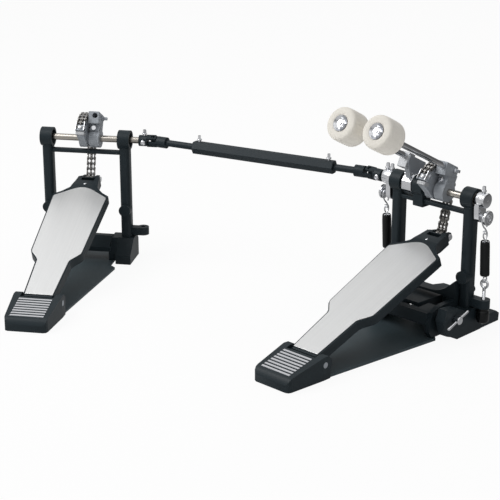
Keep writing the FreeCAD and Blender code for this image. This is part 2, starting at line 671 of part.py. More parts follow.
def footboard(name, where):
    """The board with its neck and two prongs for the chain, the inlay on it, and the toe bolt."""
    low = "board_top - board_thick"
    top = [
        ("shoulder_x + rim", "shoulder_u + 5.5"), ("crown_x + 18.5", f"{APEX} - 10.5"),
        ("neck_x + 4.8", f"{APEX} + 1"), ("neck_x + 1.7", f"{APEX} + 17.5"),
        ("neck_x", f"{NECK_END} - prong_long - 2"), ("prong_x", f"{NECK_END} - prong_long + 2.5"),
        ("prong_x", NECK_END),
    ]
    slab = profile(name + "_slab", "XY_Plane", mirrored(board_outline("rim") + top), low, "board_thick")
    inside = "board_top - 2"
    keel = [
        ("shoulder_u", low), ("shoulder_u", inside), (f"{NECK_END} - prong_long", inside),
        (f"{NECK_END} - prong_long", "0 - neck_low"), (f"{APEX} + 14", "0 - neck_low"),
    ]
    neck = profile(name + "_neck", "YZ_Plane", keel, "0 - neck_x", "neck_x * 2")
    fork = [
        (APEX, low), (APEX, inside), (NECK_END, inside), (NECK_END, "3 - neck_low"),
        (f"{NECK_END} - 4", "0 - neck_low"), (f"{APEX} + 14", "0 - neck_low"),
    ]
    prongs = profile(name + "_prongs", "YZ_Plane", fork, "0 - prong_x", "prong_x * 2")
    knuckle = rod_along(name + "_knuckle", "x", "knuckle_rad", "0 - knuckle_x", "knuckle_x")
    web = box(name + "_web", "0 - narrow_x", "narrow_x", "0", "12", low, "board_top")
    whole = fuse(name + "_whole", [slab, neck, prongs, knuckle, web])
    hole = rod_along(name + "_hole", "x", "hinge_rad + run_gap", "0 - 60", "60")
    wall = ("0 - chain_x - chain_half - 1.6", "chain_half - chain_x + 1.6")
    slot = box(name + "_slot", *wall, SLOT_BACK, f"{NECK_END} + 10", "0 - 40", "40")
    far = f"({SLOT_BACK} - window_bar)"
    window = box(name + "_window", "0 - window_x", "window_x", f"{far} - window_long", far, "0 - 2", "40")
    fall = [
        (f"{APEX} + 8", "board_top"), (f"{NECK_END} - prong_long + 1", "neck_top"),
        (f"{NECK_END} - 1", "0 - 1"), (f"{NECK_END} + 5", "0 - 1"), (f"{NECK_END} + 5", "60"),
        (f"{APEX} + 8", "60"),
    ]
    over = profile(name + "_over", "YZ_Plane", fall, "0 - 60", "120")
    at = (TOE, "0 - toe_drop")
    bolt_hole = rod_along(name + "_bolt_hole", "x", "toe_bolt_rad + seat_gap", "0 - 60", "60", *at)
    node(name, [raised(cut(name + "_cut", whole, [hole, slot, window, over, bolt_hole]))], where)

    crown = [
        ("shoulder_x", "shoulder_u"), ("crown_x", f"{APEX} - 4.2"), ("crown_x / 2", f"{APEX} - 1.2"),
        ("crown_x / 6", APEX),
    ]
    edge = mirrored(board_outline("0") + crown)
    plate = profile(name + "_plate", "XY_Plane", edge, "board_top", "inlay_thick")
    node(name + "_inlay", [raised(plate)], where)

    shank = rod_along(name + "_shank", "x", "toe_bolt_rad", "0 - prong_x", "prong_x + 1", *at)
    head = rod_along(name + "_head", "x", "toe_bolt_rad * 2.1", "prong_x", "prong_x + 3.5", *at)
    node(name.replace("footboard", "toe_bolt"), [raised(fuse(name + "_bolt", [shank, head]))], where)


# Rocker parts, built with the beater rod along -Y and then leaned back
def leaned(obj):
    return place(obj, "0", "0", "axle_z", (-1, 0, 0), "lean")


def cam(name, where):
    """The rim that carries the chain, a groove, and the leg with the block that holds a beater rod."""
    rim = ("0 - chain_x - rim_half", "rim_half - chain_x")
    core = rod_along(name + "_core", "x", "cam_core", "0 - cam_left", "cam_right")
    left_hub = rod_along(name + "_left_hub", "x", "cam_hub", "0 - cam_left", rim[1])
    right_hub = rod_along(name + "_right_hub", "x", "cam_hub", "block_in + 1", "cam_right")
    disc = rod_along(name + "_disc", "x", "chain_rad - link_half - cam_gap", *rim)
    fan = [("0 - 1.5", "0.6 - cam_hub"), ("0", "0")]
    for degree in (8, 40, 80, 120, 160):
        fan.append((f"70 * cos({degree})", f"70 * sin({degree})"))
    fan.append(("chain_rad * cos(184)", "chain_rad * sin(184)"))
    sector = common(name + "_sector", [disc, profile(name + "_fan", "YZ_Plane", fan, "0 - 30", "60")])
    side = [
        ("2.5 - block_back", "rod_offset - 12"), ("block_front", "rod_offset - 8"),
        ("block_front", "rod_offset + 2"), ("block_front - 4", "rod_offset + 6"),
        ("0 - block_back", "rod_offset + 6"),
    ]
    block = profile(name + "_block", "YZ_Plane", side, "block_in", "cam_right - block_in")
    leg = box(name + "_leg", "block_in + 1", "cam_right - 1", "0 - 11", "9", "0", "rod_offset - 5")
    tie = box(name + "_tie", "0 - chain_x", "block_in + 3", "0 - 8", "8", "16", "25")
    whole = fuse(name + "_whole", [core, left_hub, right_hub, sector, block, leg, tie])
    bore = rod_along(name + "_bore", "x", "axle_rad + seat_gap", "0 - 60", "60")
    reach = ("0 - block_back - 5", "rod_end + 2")
    socket = rod_along(name + "_socket", "y", "rod_rad + rod_gap", *reach, "beater_x", "rod_offset")
    clamp = rod_along(name + "_clamp", "x", "2.55", "beater_x + rod_rad", "60", "0 - clamp_y", "rod_offset")
    angle = rod_along(name + "_angle", "y", "2.05", "0 - 30", "0 - 5", "angle_bolt_x", "angle_bolt_z")
    node(name, [leaned(cut(name + "_cut", whole, [bore, socket, clamp, angle]))], where)


def key_bolt(name, x, y, z0):
    """A square-headed key bolt standing along Z."""
    shank = rod_along(name + "_shank", "z", "2.2", z0, f"({z0}) + 5", x, y)
    collar = rod_along(name + "_collar", "z", "3.6", f"({z0}) + 2.5", f"({z0}) + 4.5", x, y)
    square = (f"({x}) - 2", f"({x}) + 2", f"({y}) - 2", f"({y}) + 2")
    head = box(name + "_square", *square, f"({z0}) + 4.5", f"({z0}) + 10")
    return fuse(name, [shank, collar, head])


def cam_bolts(name):
    """The key bolt that clamps a beater rod from the right, and the bolt on the leg's heel side below it."""
    at = ("0 - clamp_y", "rod_offset")
    shank = rod_along(name + "_shank", "x", "2.5", "beater_x + rod_rad + 0.3", "cam_right + 1", *at)
    collar = rod_along(name + "_collar", "x", "3.8", "cam_right", "cam_right + 2.5", *at)
    square = ("0 - clamp_y - 2", "2 - clamp_y", "rod_offset - 2", "rod_offset + 2")
    head = box(name + "_square", "cam_right + 2.5", "cam_right + 8", *square)
    at = ("angle_bolt_x", "angle_bolt_z")
    stem = rod_along(name + "_angle_stem", "y", "2", "0 - 12", "0 - 6", *at)
    cap = rod_along(name + "_angle_cap", "y", "3.4", "0 - 15.5", "0 - 11", *at)
    return [leaned(fuse(name, [shank, collar, head])), leaned(fuse(name + "_angle_bolt", [stem, cap]))]


def beater(tag, x):
    """A beater rod with its nut and washers, and the felt head on it."""
    at = (x, "rod_offset")
    face = "0 - felt_start - felt_long"
    rod = rod_along(f"{tag}_stem", "y", "rod_rad", f"{face} + cup_deep - 6", "rod_end", *at)
    cup = rod_along(f"{tag}_cup", "y", "cup_rad - 1", f"{face} + cup_deep - 1.6", f"{face} + cup_deep", *at)
    nut = rod_along(f"{tag}_nut", "y", "6", f"{face} + cup_deep - 5", f"{face} + cup_deep - 1.6", *at)
    stop = rod_along(f"{tag}_stop", "y", "9", "0 - felt_start", "0 - felt_start + 2", *at)
    node(f"{tag}_beater_rod", [leaned(fuse(f"{tag}_rod_whole", [rod, cup, nut, stop]))])
    felt = rod_along(f"{tag}_wool", "y", "felt_rad", face, "0 - felt_start", *at)
    soft = rounded(f"{tag}_soft", felt, "felt_round", lambda edge: edge.Curve.TypeId == "Part::GeomCircle")
    hole = rod_along(f"{tag}_wool_hole", "y", "rod_rad + seat_gap", f"{face} - 5", "5 - felt_start", *at)
    dish = rod_along(f"{tag}_dish", "y", "cup_rad", f"{face} - 5", f"{face} + cup_deep", *at)
    node(f"{tag}_beater_felt", [leaned(cut(f"{tag}_felt_cut", soft, [hole, dish]))])


def lever(tag, side):
    """A spring lever clamped on an axle end: cap, arm, pin and roller disc."""
    s = "" if side > 0 else "0 - "

    def span(a, b):
        return (a, b) if side > 0 else (f"0 - ({b})", f"0 - ({a})")

    low = "axle_z - lever_drop"
    ends = span("lever_in", "lever_in + lever_cap")
    cap = rod_along(f"{tag}_cap", "x", "lever_rad", *ends, "0", "axle_z + lever_up")
    plate = [("0.8 - lever_rad", "axle_z + lever_up")]
    for degree in (180, 225, 270, 315, 360):
        plate.append((f"lever_foot * cos({degree})", f"{low} + lever_foot * sin({degree})"))
    plate.append(("lever_rad - 0.8", "axle_z + lever_up"))
    start = span("lever_in", "lever_in + lever_thick")[0]
    arm = profile(f"{tag}_lever_arm", "YZ_Plane", plate, start, "lever_thick")
    pin = rod_along(f"{tag}_lever_pin", "x", "lever_pin", *span("lever_in + 2", "spring_x + 3"), "0", low)
    disc = rod_along(f"{tag}_roller", "x", "roller_rad", *span("spring_x + 2.2", "spring_x + 6.2"), "0", low)
    whole = fuse(f"{tag}_lever_whole", [cap, arm, pin, disc])
    reach = "lever_in + lever_cap - 2" if side > 0 else "lever_in + lever_cap + 5"
    bore_ends = span("lever_in - 5", reach)
    bore = rod_along(f"{tag}_lever_bore", "x", "axle_rad + seat_gap", *bore_ends, "0", "axle_z")
    flat = "axle_z + lever_up + lever_rad - 0.6"
    middle = f"{s}(lever_in + 8)"
    seat = box(f"{tag}_lever_seat", f"{middle} - 20", f"{middle} + 20", "0 - 4", "4", flat, "axle_z + 40")
    parts = [cut(f"{tag}_lever_cut", whole, [bore, seat])]
    spots = [("a", "lever_in + 9")] if side > 0 else [("a", "lever_in + 4"), ("b", "lever_in + 12")]
    for letter, x in spots:
        parts.append(key_bolt(f"{tag}_lever_bolt_{letter}", f"{s}({x})", "0", flat))
    node(f"{tag}_spring_lever", parts)


def spring(tag, side):
    x = "spring_x" if side > 0 else "0 - spring_x"
    tilt = math.degrees(math.atan2(size("eye_y"), spring_rise()[0]))

    def stood(obj):
        return place(obj, x, "eye_y", "eye_z + eye_ring", (1, 0, 0), f"{tilt:.6f}")

    points, tangents = coil_points()
    wire = size("spring_wire")
    print(f"{tag} spring: least gap between turns {least_gap(points, wire):.3f} mm, tilt {tilt:.4f} deg")
    node(f"{tag}_spring", [stood(feature(f"{tag}_coil", tube(points, tangents, wire)))])
    hook = hook_points()
    node(f"{tag}_spring_hook", [stood(feature(f"{tag}_hook", tube(hook, smooth(hook), wire)))])
    low = "coil_start - 1.4"
    high = "coil_start + coil_pitch * coil_turns + 1.6"
    skin = rod_along(f"{tag}_skin", "z", "sleeve_rad", low, high)
    inside = rod_along(f"{tag}_inside", "z", "sleeve_rad - sleeve_wall", f"{low} - 2", f"{high} + 2")
    node(f"{tag}_spring_sleeve", [stood(cut(f"{tag}_sleeve_cut", skin, [inside]))])


def studs():
    """The eyebolts that hang in the ears, each with its knob below."""
    rods = []
    knobs = []
    for tag, x in (("left", "0 - spring_x"), ("right", "spring_x")):
        at = (x, "eye_y")
        shank = rod_along(f"{tag}_stud", "z", "stud_rad", "ear_low - 24", "eye_z - 5", *at)
        ring = doc.addObject("Part::Torus", f"{tag}_eye")
        bind(ring, "Radius1", "eye_ring")
        bind(ring, "Radius2", "eye_wire")
        ring.Placement = FreeCAD.Placement(V(0, 0, 0), FreeCAD.Rotation(V(1, 0, 0), 90))
        for letter, formula in zip("xyz", (x, "eye_y", "eye_z")):
            bind(ring, "Placement.Base." + letter, formula)
        rods.append(fuse(f"{tag}_eyebolt", [shank, ring]))
        grip = rod_along(f"{tag}_grip", "z", "knob_rad", "ear_low - 22", "ear_low - 4", *at)
        flange = rod_along(f"{tag}_flange", "z", "knob_rad - 2.5", "ear_low - 5", "ear_low", *at)
        bore = rod_along(f"{tag}_knob_bore", "z", "stud_rad + seat_gap", "ear_low - 60", "ear_low + 20", *at)
        knobs.append(cut(f"{tag}_knob", fuse(f"{tag}_knob_whole", [grip, flange]), [bore]))
    node("spring_eyebolts", rods)
    node("tension_knobs", knobs)


def hoop_clamp():
    line = [
        ("0 - 54", "38.6"), ("0 - 54", "44"), ("jaw_pin_y - 6", "jaw_pin_z + 8"),
        ("jaw_pin_y + 6", "jaw_pin_z + 8"), ("lip_front - 4", "lip_high + 21"),
        ("lip_front - 2", "lip_high + 12"),
        ("lip_front - 18", "lip_high + 13"), ("jaw_pin_y + 6", "jaw_pin_z - 6"),
        ("jaw_pin_y - 6", "jaw_pin_z - 6"), ("0 - 32", "36.5"),
    ]
    body = profile("jaw_bar", "YZ_Plane", line, "0 - jaw_x", "jaw_x * 2")
    pin = rod_along("jaw_pin_rod", "x", "jaw_pin", "0 - jaw_x - 8", "jaw_x + 8", "jaw_pin_y", "jaw_pin_z")
    node("hoop_clamp_jaw", [fuse("jaw_whole", [body, pin])])

    at = ("0 - screw_y", "screw_z")
    screw = rod_along("wing_shank", "x", "screw_rad", "jaw_x + 5", "cheek_out + 2", *at)
    hub = rod_along("wing_hub", "x", "screw_rad * 1.4", "cheek_out + 0.6", "cheek_out + 10", *at)
    bar = doc.addObject("Part::Cylinder", "wing_bar")
    bind(bar, "Radius", "wing_rad")
    bind(bar, "Height", "wing_half * 2")
    bar.Placement = FreeCAD.Placement(V(0, 0, 0), FreeCAD.Rotation(V(-1, 0, 0), 71))
    bind(bar, "Placement.Base.x", "cheek_out + 5.5")
    bind(bar, "Placement.Base.y", "0 - screw_y - wing_half * sin(71)")
    bind(bar, "Placement.Base.z", "screw_z - wing_half * cos(71)")
    node("hoop_wing_screw", [fuse("wing_whole", [screw, hub, bar])])


# Drive shaft parts lie along the drive's own X, its right joint at 0 and its left joint at -drive_len
def turned(obj, z="0"):
    """Turns a fork about its shaft so that it stands upright halfway through the stroke."""
    return place(obj, "0", "0", z, (1, 0, 0), "fork_turn")


def yoke(name, hub_far, hub_near, ear_end, pin_at):
    """A fork on a shaft end: a round hub, two ears above and below, and pin holes with play for the cross."""
    hub = rod_along(name + "_hub", "x", "yoke_rad", hub_far, hub_near)
    low = box(name + "_ear_low", *ear_end, "0 - 4.6", "4.6", "0 - yoke_rad", "3.4 - yoke_rad")
    high = box(name + "_ear_high", *ear_end, "0 - 4.6", "4.6", "yoke_rad - 3.4", "yoke_rad")
    whole = fuse(name + "_whole", [hub, low, high])
    hole = rod_along(name + "_holes", "z", "cross_pin + yoke_gap", "0 - 30", "30", pin_at, "0")
    return cut(name + "_fork", whole, [hole])


def cross_fork(name, at, sign):
    """The drive side's fork, its ears fore and aft, with the cross that it carries."""
    def span(a, b):
        return (f"{at} + ({a})", f"{at} + ({b})") if sign > 0 else (f"{at} - ({b})", f"{at} - ({a})")

    parts = [rod_along(name + "_hub", "x", "yoke_rad", *span("9", "24"))]
    for tag, low, high in (("a", "0 - yoke_rad", "3.2 - yoke_rad"), ("b", "yoke_rad - 3.2", "yoke_rad")):
        parts.append(box(f"{name}_ear_{tag}", *span("0 - 4.5", "10"), low, high, "0 - 3.4", "3.4"))
    parts.append(box(name + "_block", *span("0 - 3", "3"), "0 - 3", "3", "0 - 2.6", "2.6"))
    parts.append(rod_along(name + "_pin_y", "y", "cross_pin", "0 - yoke_rad", "yoke_rad", at, "0"))
    parts.append(rod_along(name + "_pin_z", "z", "cross_pin", "1 - yoke_rad", "yoke_rad - 1", at, "0"))
    return parts


def hexagon(name, half, start, end):
    """A six-sided bar along X with flats above and below, half across its flats."""
    corner = f"({half}) / cos(30)"
    points = [(f"{corner} * cos({60 * i})", f"{corner} * sin({60 * i})") for i in range(6)]
    return profile(name, "YZ_Plane", points, start, f"({end}) - ({start})")


def drive():
    left_end = "0 - drive_len"
    rod = rod_along("drive_right_stem", "x", "drive_rod", "0 - tube_start - 46", "0 - 20")
    right = fuse("drive_right_whole", [rod] + cross_fork("drive_right", "0", -1))
    node("drive_right_rod", [turned(right)], "drive")
    rod = rod_along("drive_left_stem", "x", "drive_rod", f"{left_end} + 20", f"{left_end} + tube_end + 90")
    left = fuse("drive_left_whole", [rod] + cross_fork("drive_left", left_end, 1))
    node("drive_left_rod", [turned(left)], "drive")
    bar = hexagon("drive_hex", "tube_half", f"{left_end} + tube_end", "0 - tube_start")
    bore_end = f"{left_end} + tube_end + 140"
    left_bore = rod_along("drive_left_bore", "x", "drive_rod + play", left_end, bore_end)
    right_bore = rod_along("drive_right_bore", "x", "drive_rod + seat_gap", "0 - tube_start - 50", "0")
    node("drive_tube", [cut("drive_tube_cut", bar, [left_bore, right_bore])], "drive")
    bolts = []
    for tag, x in (("right", "0 - tube_start - 9"), ("left", f"{left_end} + tube_end + 9")):
        bolts.append(key_bolt(f"drive_{tag}_bolt", x, "0", "tube_half"))
    node("drive_tube_bolts", bolts, "drive")


# Both pedals, then the main pedal's own parts
for name in ("main", "slave"):
    for side, tag in ((-1, "left"), (1, "right")):
        post(f"{name}_{tag}_post", side, name == "main" or side > 0, name)
    crossbar(name, name)
    bearings(name, name)
    base_plate(name, name)
    foot(name, name)
    heel(name, name)
    footboard(name + "_footboard", name)
    cam(name + "_cam", name)
    groups = (("strand", 0, 8), ("lower", 8, 11), ("upper", 11, 13), ("wrap", 13, 20))
    for tag, first, after in groups:
        moved = RUN_LINKS - 8
        start = first + moved if first else 0
        node(f"{name}_chain_{tag}", [links(f"{name}_links_{tag}", start, after + moved - 1)], name)

AXLES_MEET = "(bracket_in + bracket_out) / 2"
shaft_ends = (f"0.5 - {AXLES_MEET}", "lever_in + lever_cap - 3")
shaft = rod_along("main_shaft", "x", "axle_rad", *shaft_ends, "0", "axle_z")
node("main_axle", [shaft] + cam_bolts("main_side_bolt"))
beater("right", "beater_x")
beater("left", "0 - left_beater_x")

hub = rod_along("left_hub_ring", "x", "cam_hub - 1", "0 - left_beater_x - 5", "0 - bracket_out - 1")
arm_side = [
    ("0 - 11", "0"), ("11", "0"), ("8", "rod_offset + 3"), ("0 - 32", "rod_offset + 3"),
    ("0 - 32", "rod_offset - 8"), ("0 - 22", "12"),
]
arm = profile("left_hub_arm", "YZ_Plane", arm_side, "0 - left_beater_x", "9")
grip = ("0 - left_beater_x - 8", "7 - left_beater_x", "0 - 32", "0 - 18", "rod_offset - 16", "rod_offset + 6")
holder = box("left_hub_block", *grip)
hub_bore = rod_along("left_hub_bore", "x", "axle_rad + seat_gap", "0 - 60", "0 - 20")
socket_at = ("0 - left_beater_x", "rod_offset")
hub_socket = rod_along("left_hub_socket", "y", "rod_rad + rod_gap", "0 - 40", "rod_end + 2", *socket_at)
whole_hub = fuse("left_hub_whole", [hub, arm, holder])
node("left_beater_hub", [leaned(cut("left_hub_cut", whole_hub, [hub_bore, hub_socket]))])

left_ends = (f"12 - {JOINT_MAIN}", f"0 - {AXLES_MEET} - 0.5")
left_rod = rod_along("left_rod_stem", "x", "axle_rad", *left_ends)
left_ears = (f"0 - {JOINT_MAIN} - 5", f"10 - {JOINT_MAIN}")
left_hub = (f"9 - {JOINT_MAIN}", f"0 - {CAP_END} - hub_gap")
left_fork = yoke("left_yoke", *left_hub, left_ears, f"0 - {JOINT_MAIN}")
node("left_shaft", [turned(fuse("left_shaft_whole", [left_rod, left_fork]), "axle_z")])

for tag, side in (("right", 1), ("left", -1)):
    lever(tag, side)
    spring(tag, side)
studs()
hoop_clamp()
drive()

slave_ends = ("0 - post_x - house_long / 2 - 2", f"{JOINT_SLAVE} - 12")
slave_rod = rod_along("slave_rod", "x", "axle_rad", *slave_ends)
slave_ears = (f"{JOINT_SLAVE} - 10", f"{JOINT_SLAVE} + 5")
slave_fork = yoke("slave_yoke", f"{JOINT_SLAVE} - 22", f"{JOINT_SLAVE} - 9", slave_ears, JOINT_SLAVE)
slave_shaft = turned(fuse("slave_shaft_whole", [slave_rod, slave_fork]), "axle_z")
node("slave_axle", [slave_shaft] + cam_bolts("slave_side_bolt"), "slave")

doc.recompute()
bad = [o.Name for o in doc.Objects if any(s in ("Invalid", "Error") for s in o.State)]
if bad:
    raise SystemExit("failed: " + ", ".join(bad))
os.makedirs("parts", exist_ok=True)
for obj in NODES:
    shape = obj.Shape
    if shape.isNull() or not shape.isValid() or not shape.Solids:
        raise SystemExit("bad shape: " + obj.Label)
    shape.exportStep(f"parts/{obj.Label}.step")
print(len(NODES), "nodes written")
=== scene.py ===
import math

import bmesh
import bpy
from mathutils import Matrix, Vector, noise


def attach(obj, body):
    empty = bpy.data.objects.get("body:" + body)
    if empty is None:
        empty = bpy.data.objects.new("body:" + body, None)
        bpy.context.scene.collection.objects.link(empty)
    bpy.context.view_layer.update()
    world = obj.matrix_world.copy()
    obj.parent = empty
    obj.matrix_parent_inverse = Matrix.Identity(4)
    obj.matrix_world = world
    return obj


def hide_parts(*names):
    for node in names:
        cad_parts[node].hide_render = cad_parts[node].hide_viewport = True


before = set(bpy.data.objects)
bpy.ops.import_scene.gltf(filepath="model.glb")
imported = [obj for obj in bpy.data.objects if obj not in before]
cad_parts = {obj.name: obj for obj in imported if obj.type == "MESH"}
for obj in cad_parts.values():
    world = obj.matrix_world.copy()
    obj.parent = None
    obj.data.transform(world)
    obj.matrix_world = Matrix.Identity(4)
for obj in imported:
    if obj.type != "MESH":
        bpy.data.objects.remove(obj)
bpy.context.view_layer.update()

bl_info = {
    "name": "Double bass drum pedal",
    "version": (1, 0, 0),
    "blender": (4, 5, 0),
    "location": "View3D > Sidebar > Pedal",
    "description": "Dresses the double pedal's frame with its finished pieces",
    "category": "Object",
}

# Places, in millimetres until a piece is finished. X to the player's right, Y towards the drum, Z up.
STILL = Matrix.Identity(4)
MILLI = Matrix.Scale(0.001, 4)


def shift(x=0.0, y=0.0, z=0.0):
    return Matrix.Translation((x, y, z))


def turn(degrees, axis):
    return Matrix.Rotation(math.radians(degrees), 4, axis)


TO_X = turn(90, "Y")
TO_HEEL = turn(90, "X")
UPRIGHT = Matrix(((0, 0, 1, 0), (1, 0, 0, 0), (0, 1, 0, 0), (0, 0, 0, 1)))
SLAVE_TURN = 33.9
PEDALS = {"main": STILL, "slave": shift(-549.170, -158.020, 0) @ turn(SLAVE_TURN, "Z")}
ROCKERS = {"main": "right_rocker", "slave": "slave_rocker"}
AXLE_Z = 190.0
AXLE = shift(0, 0, AXLE_Z)
DRIVE = shift(-114, 0, AXLE_Z) @ turn(15.9, "Z")
HINGE_Y = -261.5
BOARD_SLOPE = 20.1
BOARD = shift(0, HINGE_Y, 20.5) @ turn(BOARD_SLOPE, "X")
ROCKER = AXLE @ turn(-27.4, "X")
SPRING_X = 85.0
SPRING_Y = 6.0
SPRING_FOOT = 77.2
SPRING_TILT = turn(3.7806, "X")
LEVER_Z = 191.5
ROLLER_Z = 168.0
CHAIN_X = -0.8


def length(name, description, default):
    return bpy.props.FloatProperty(name=name, description=description, default=default, unit="LENGTH")


def paint(name, description, default):
    return bpy.props.FloatVectorProperty(
        name=name, description=description, subtype="COLOR", default=default)


class PedalSizes(bpy.types.PropertyGroup):
    """Sizes of the dressed pieces that a maker may want to change."""

    felt_radius: length("Felt radius", "Half the width of a felt head", 0.023)
    rod_radius: length("Rod radius", "Half the thickness of a beater rod", 0.004)
    knob_radius: length("Knob radius", "Half the width of a spring knob", 0.0088)
    thread_step: length("Thread step", "Rise of one turn of a thread", 0.0012)
    strip_count: bpy.props.IntProperty(
        name="Grip strips", description="Strips on a heel plate", default=8, min=1, max=12)
    strip_step: length("Strip step", "From one grip strip to the next", 0.0057)
    casting_edge: length("Casting edge", "Rounding of cast and pressed edges", 0.0009)


class PedalColours(bpy.types.PropertyGroup):
    """Colours of the finishes."""

    casting: paint("Casting", "Satin black of the castings", (0.0160, 0.0240, 0.0290))
    plate: paint("Plate", "Powder black of the floor plates", (0.054, 0.075, 0.085))
    alloy: paint("Cam alloy", "Grey of the die-cast cams", (0.348, 0.375, 0.407))
    dark_alloy: paint("Arm alloy", "Dark grey of the left arm", (0.300, 0.322, 0.350))
    light_alloy: paint("Holder alloy", "Light grey of the rod holder and ledges", (0.42, 0.43, 0.445))
    steel: paint("Axle plating", "Warm nickel of the axles", (0.435, 0.41, 0.372))
    chrome: paint("Chrome", "Bright plating", (0.74, 0.75, 0.775))
    roller: paint("Rollers", "Dull plating of the chain's rollers", (0.333, 0.3375, 0.34875))
    inlay: paint("Inlay", "Brushed plate on the footboards", (0.715, 0.72, 0.72))
    felt: paint("Felt", "Wool felt of the heads", (0.885, 0.848, 0.775))
    chain: paint("Chain", "Oiled steel of the link plates", (0.30, 0.29, 0.275))
    knob: paint("Knob", "Moulded black of knobs and sleeves", (0.0035, 0.0044, 0.0048))
    floor: paint("Floor", "Pale floor and backdrop", (0.92, 0.92, 0.92))


def sizes():
    return bpy.context.scene.pedal_sizes


def colour(name):
    value = getattr(bpy.context.scene.pedal_colours, name)
    return (value[0], value[1], value[2], 1.0)


# Node trees
class Value:
    """One output socket of a node; plain arithmetic on it adds Math nodes."""

    def __init__(self, graph, made, output):
        self.graph = graph
        self.socket = made.outputs[output]

    def maths(self, operation, first, second):
        return self.graph.node("ShaderNodeMath", {"operation": operation}, {0: first, 1: second})

    def __add__(self, other):
        return self.maths("ADD", self, other)

    def __radd__(self, other):
        return self.maths("ADD", other, self)

    def __sub__(self, other):
        return self.maths("SUBTRACT", self, other)

    def __rsub__(self, other):
        return self.maths("SUBTRACT", other, self)

    def __mul__(self, other):
        return self.maths("MULTIPLY", self, other)

    def __rmul__(self, other):
        return self.maths("MULTIPLY", other, self)

    def at_most(self, other):
        return self.maths("MINIMUM", self, other)

    def at_least(self, other):
        return self.maths("MAXIMUM", self, other)


class Graph:
    """A node tree that is filled one node at a time."""

    def __init__(self, tree):
        self.tree = tree
        self.tree.nodes.clear()

    def node(self, kind, settings=None, inputs=None, output=0):
        made = self.tree.nodes.new(kind)
        for name, value in (settings or {}).items():
            if name == "stops":
                self.stops(made.color_ramp, value)
            else:
                setattr(made, name, value)
        for name, value in (inputs or {}).items():
            if isinstance(value, Value):
                self.tree.links.new(value.socket, made.inputs[name])
            else:
                made.inputs[name].default_value = value
        return Value(self, made, output) if made.outputs else made

    def stops(self, ramp, stops):
        while len(ramp.elements) < len(stops):
            ramp.elements.new(0.5)
        for element, (place, level) in zip(ramp.elements, stops):
            element.position = place
            element.color = (level, level, level, 1.0)

    def grain(self, spots, scale, detail=3.0, rough=0.55):
        return self.node(
            "ShaderNodeTexNoise", None,
            {"Vector": spots, "Scale": scale, "Detail": detail, "Roughness": rough})

    def ramp(self, value, *stops):
        return self.node("ShaderNodeValToRGB", {"stops": stops}, {"Fac": value})

    def tint(self, factor, low, high):
        return self.node(
            "ShaderNodeMix", {"data_type": "RGBA"}, {0: factor, 6: low, 7: high}, output=2)

    def bump(self, height, depth):
        return self.node(
            "ShaderNodeBump", None, {"Height": height, "Distance": depth, "Strength": 1.0})

    def along(self, spots, way):
        """How far a place or direction reaches along a given way."""
        return self.node("ShaderNodeVectorMath", {"operation": "DOT_PRODUCT"}, {0: spots, 1: way}, output=1)


def scaled(rgb, factor):
    return (rgb[0] * factor, rgb[1] * factor, rgb[2] * factor, 1.0)


MATERIAL = "pedal "


def new_finish(name):
    """An empty material, its graph and the piece's own coordinates."""
    material = bpy.data.materials.new(MATERIAL + name)
    material.use_nodes = True
    graph = Graph(material.node_tree)
    spots = graph.node("ShaderNodeTexCoord", None, None, output="Object")
    return material, graph, spots


def close_finish(graph, inputs):
    shader = graph.node("ShaderNodeBsdfPrincipled", None, inputs)
    graph.node("ShaderNodeOutputMaterial", None, {"Surface": shader})


def powder_black(name, base, rough, shine, grain, depth):
    """Satin black coating: fine orange peel, patchy gloss, and thin rubbed spots."""
    material, graph, spots = new_finish(name)
    peel = graph.grain(spots, grain, 2.0)
    patch = graph.grain(spots, 26.0, 4.0)
    rub = graph.ramp(graph.grain(spots, 240.0, 5.0, 0.7), (0.66, 0.0), (0.80, 1.0))
    wide = graph.tint(patch, scaled(base, 0.80), scaled(base, 1.25))
    close_finish(graph, {
        "Base Color": graph.tint(rub * 0.35, wide, scaled(base, 2.2)),
        "Roughness": rough - 0.05 + patch * 0.10 + rub * 0.06,
        "Normal": graph.bump(peel, depth),
        "Specular IOR Level": shine,
    })
    return material


def plated(name, base, rough):
    """Bright plating with faint hairlines and a slight cloudiness."""
    material, graph, spots = new_finish(name)
    turned = graph.node(
        "ShaderNodeMapping", None, {"Vector": spots, "Rotation": (0.4, 0.3, 0.7), "Scale": (1, 9, 1)})
    hair = graph.grain(turned, 420.0, 4.0, 0.7)
    cloud = graph.grain(spots, 55.0, 3.0)
    close_finish(graph, {
        "Base Color": graph.tint(cloud, scaled(base, 0.90), scaled(base, 1.04)),
        "Metallic": 1.0,
        "Roughness": rough + cloud * 0.07 + hair * 0.04,
        "Normal": graph.bump(hair, 0.00001),
    })
    return material


def cast_alloy(name, base, rough):
    """Bare die-cast alloy: dull metal with a sandy skin."""
    material, graph, spots = new_finish(name)
    sand = graph.grain(spots, 900.0, 3.0, 0.6)
    cloud = graph.grain(spots, 45.0, 4.0)
    close_finish(graph, {
        "Base Color": graph.tint(cloud, scaled(base, 0.82), scaled(base, 1.15)),
        "Metallic": 0.35,
        "Roughness": rough + cloud * 0.12 + sand * 0.05,
        "Normal": graph.bump(sand, 0.00006),
    })
    return material


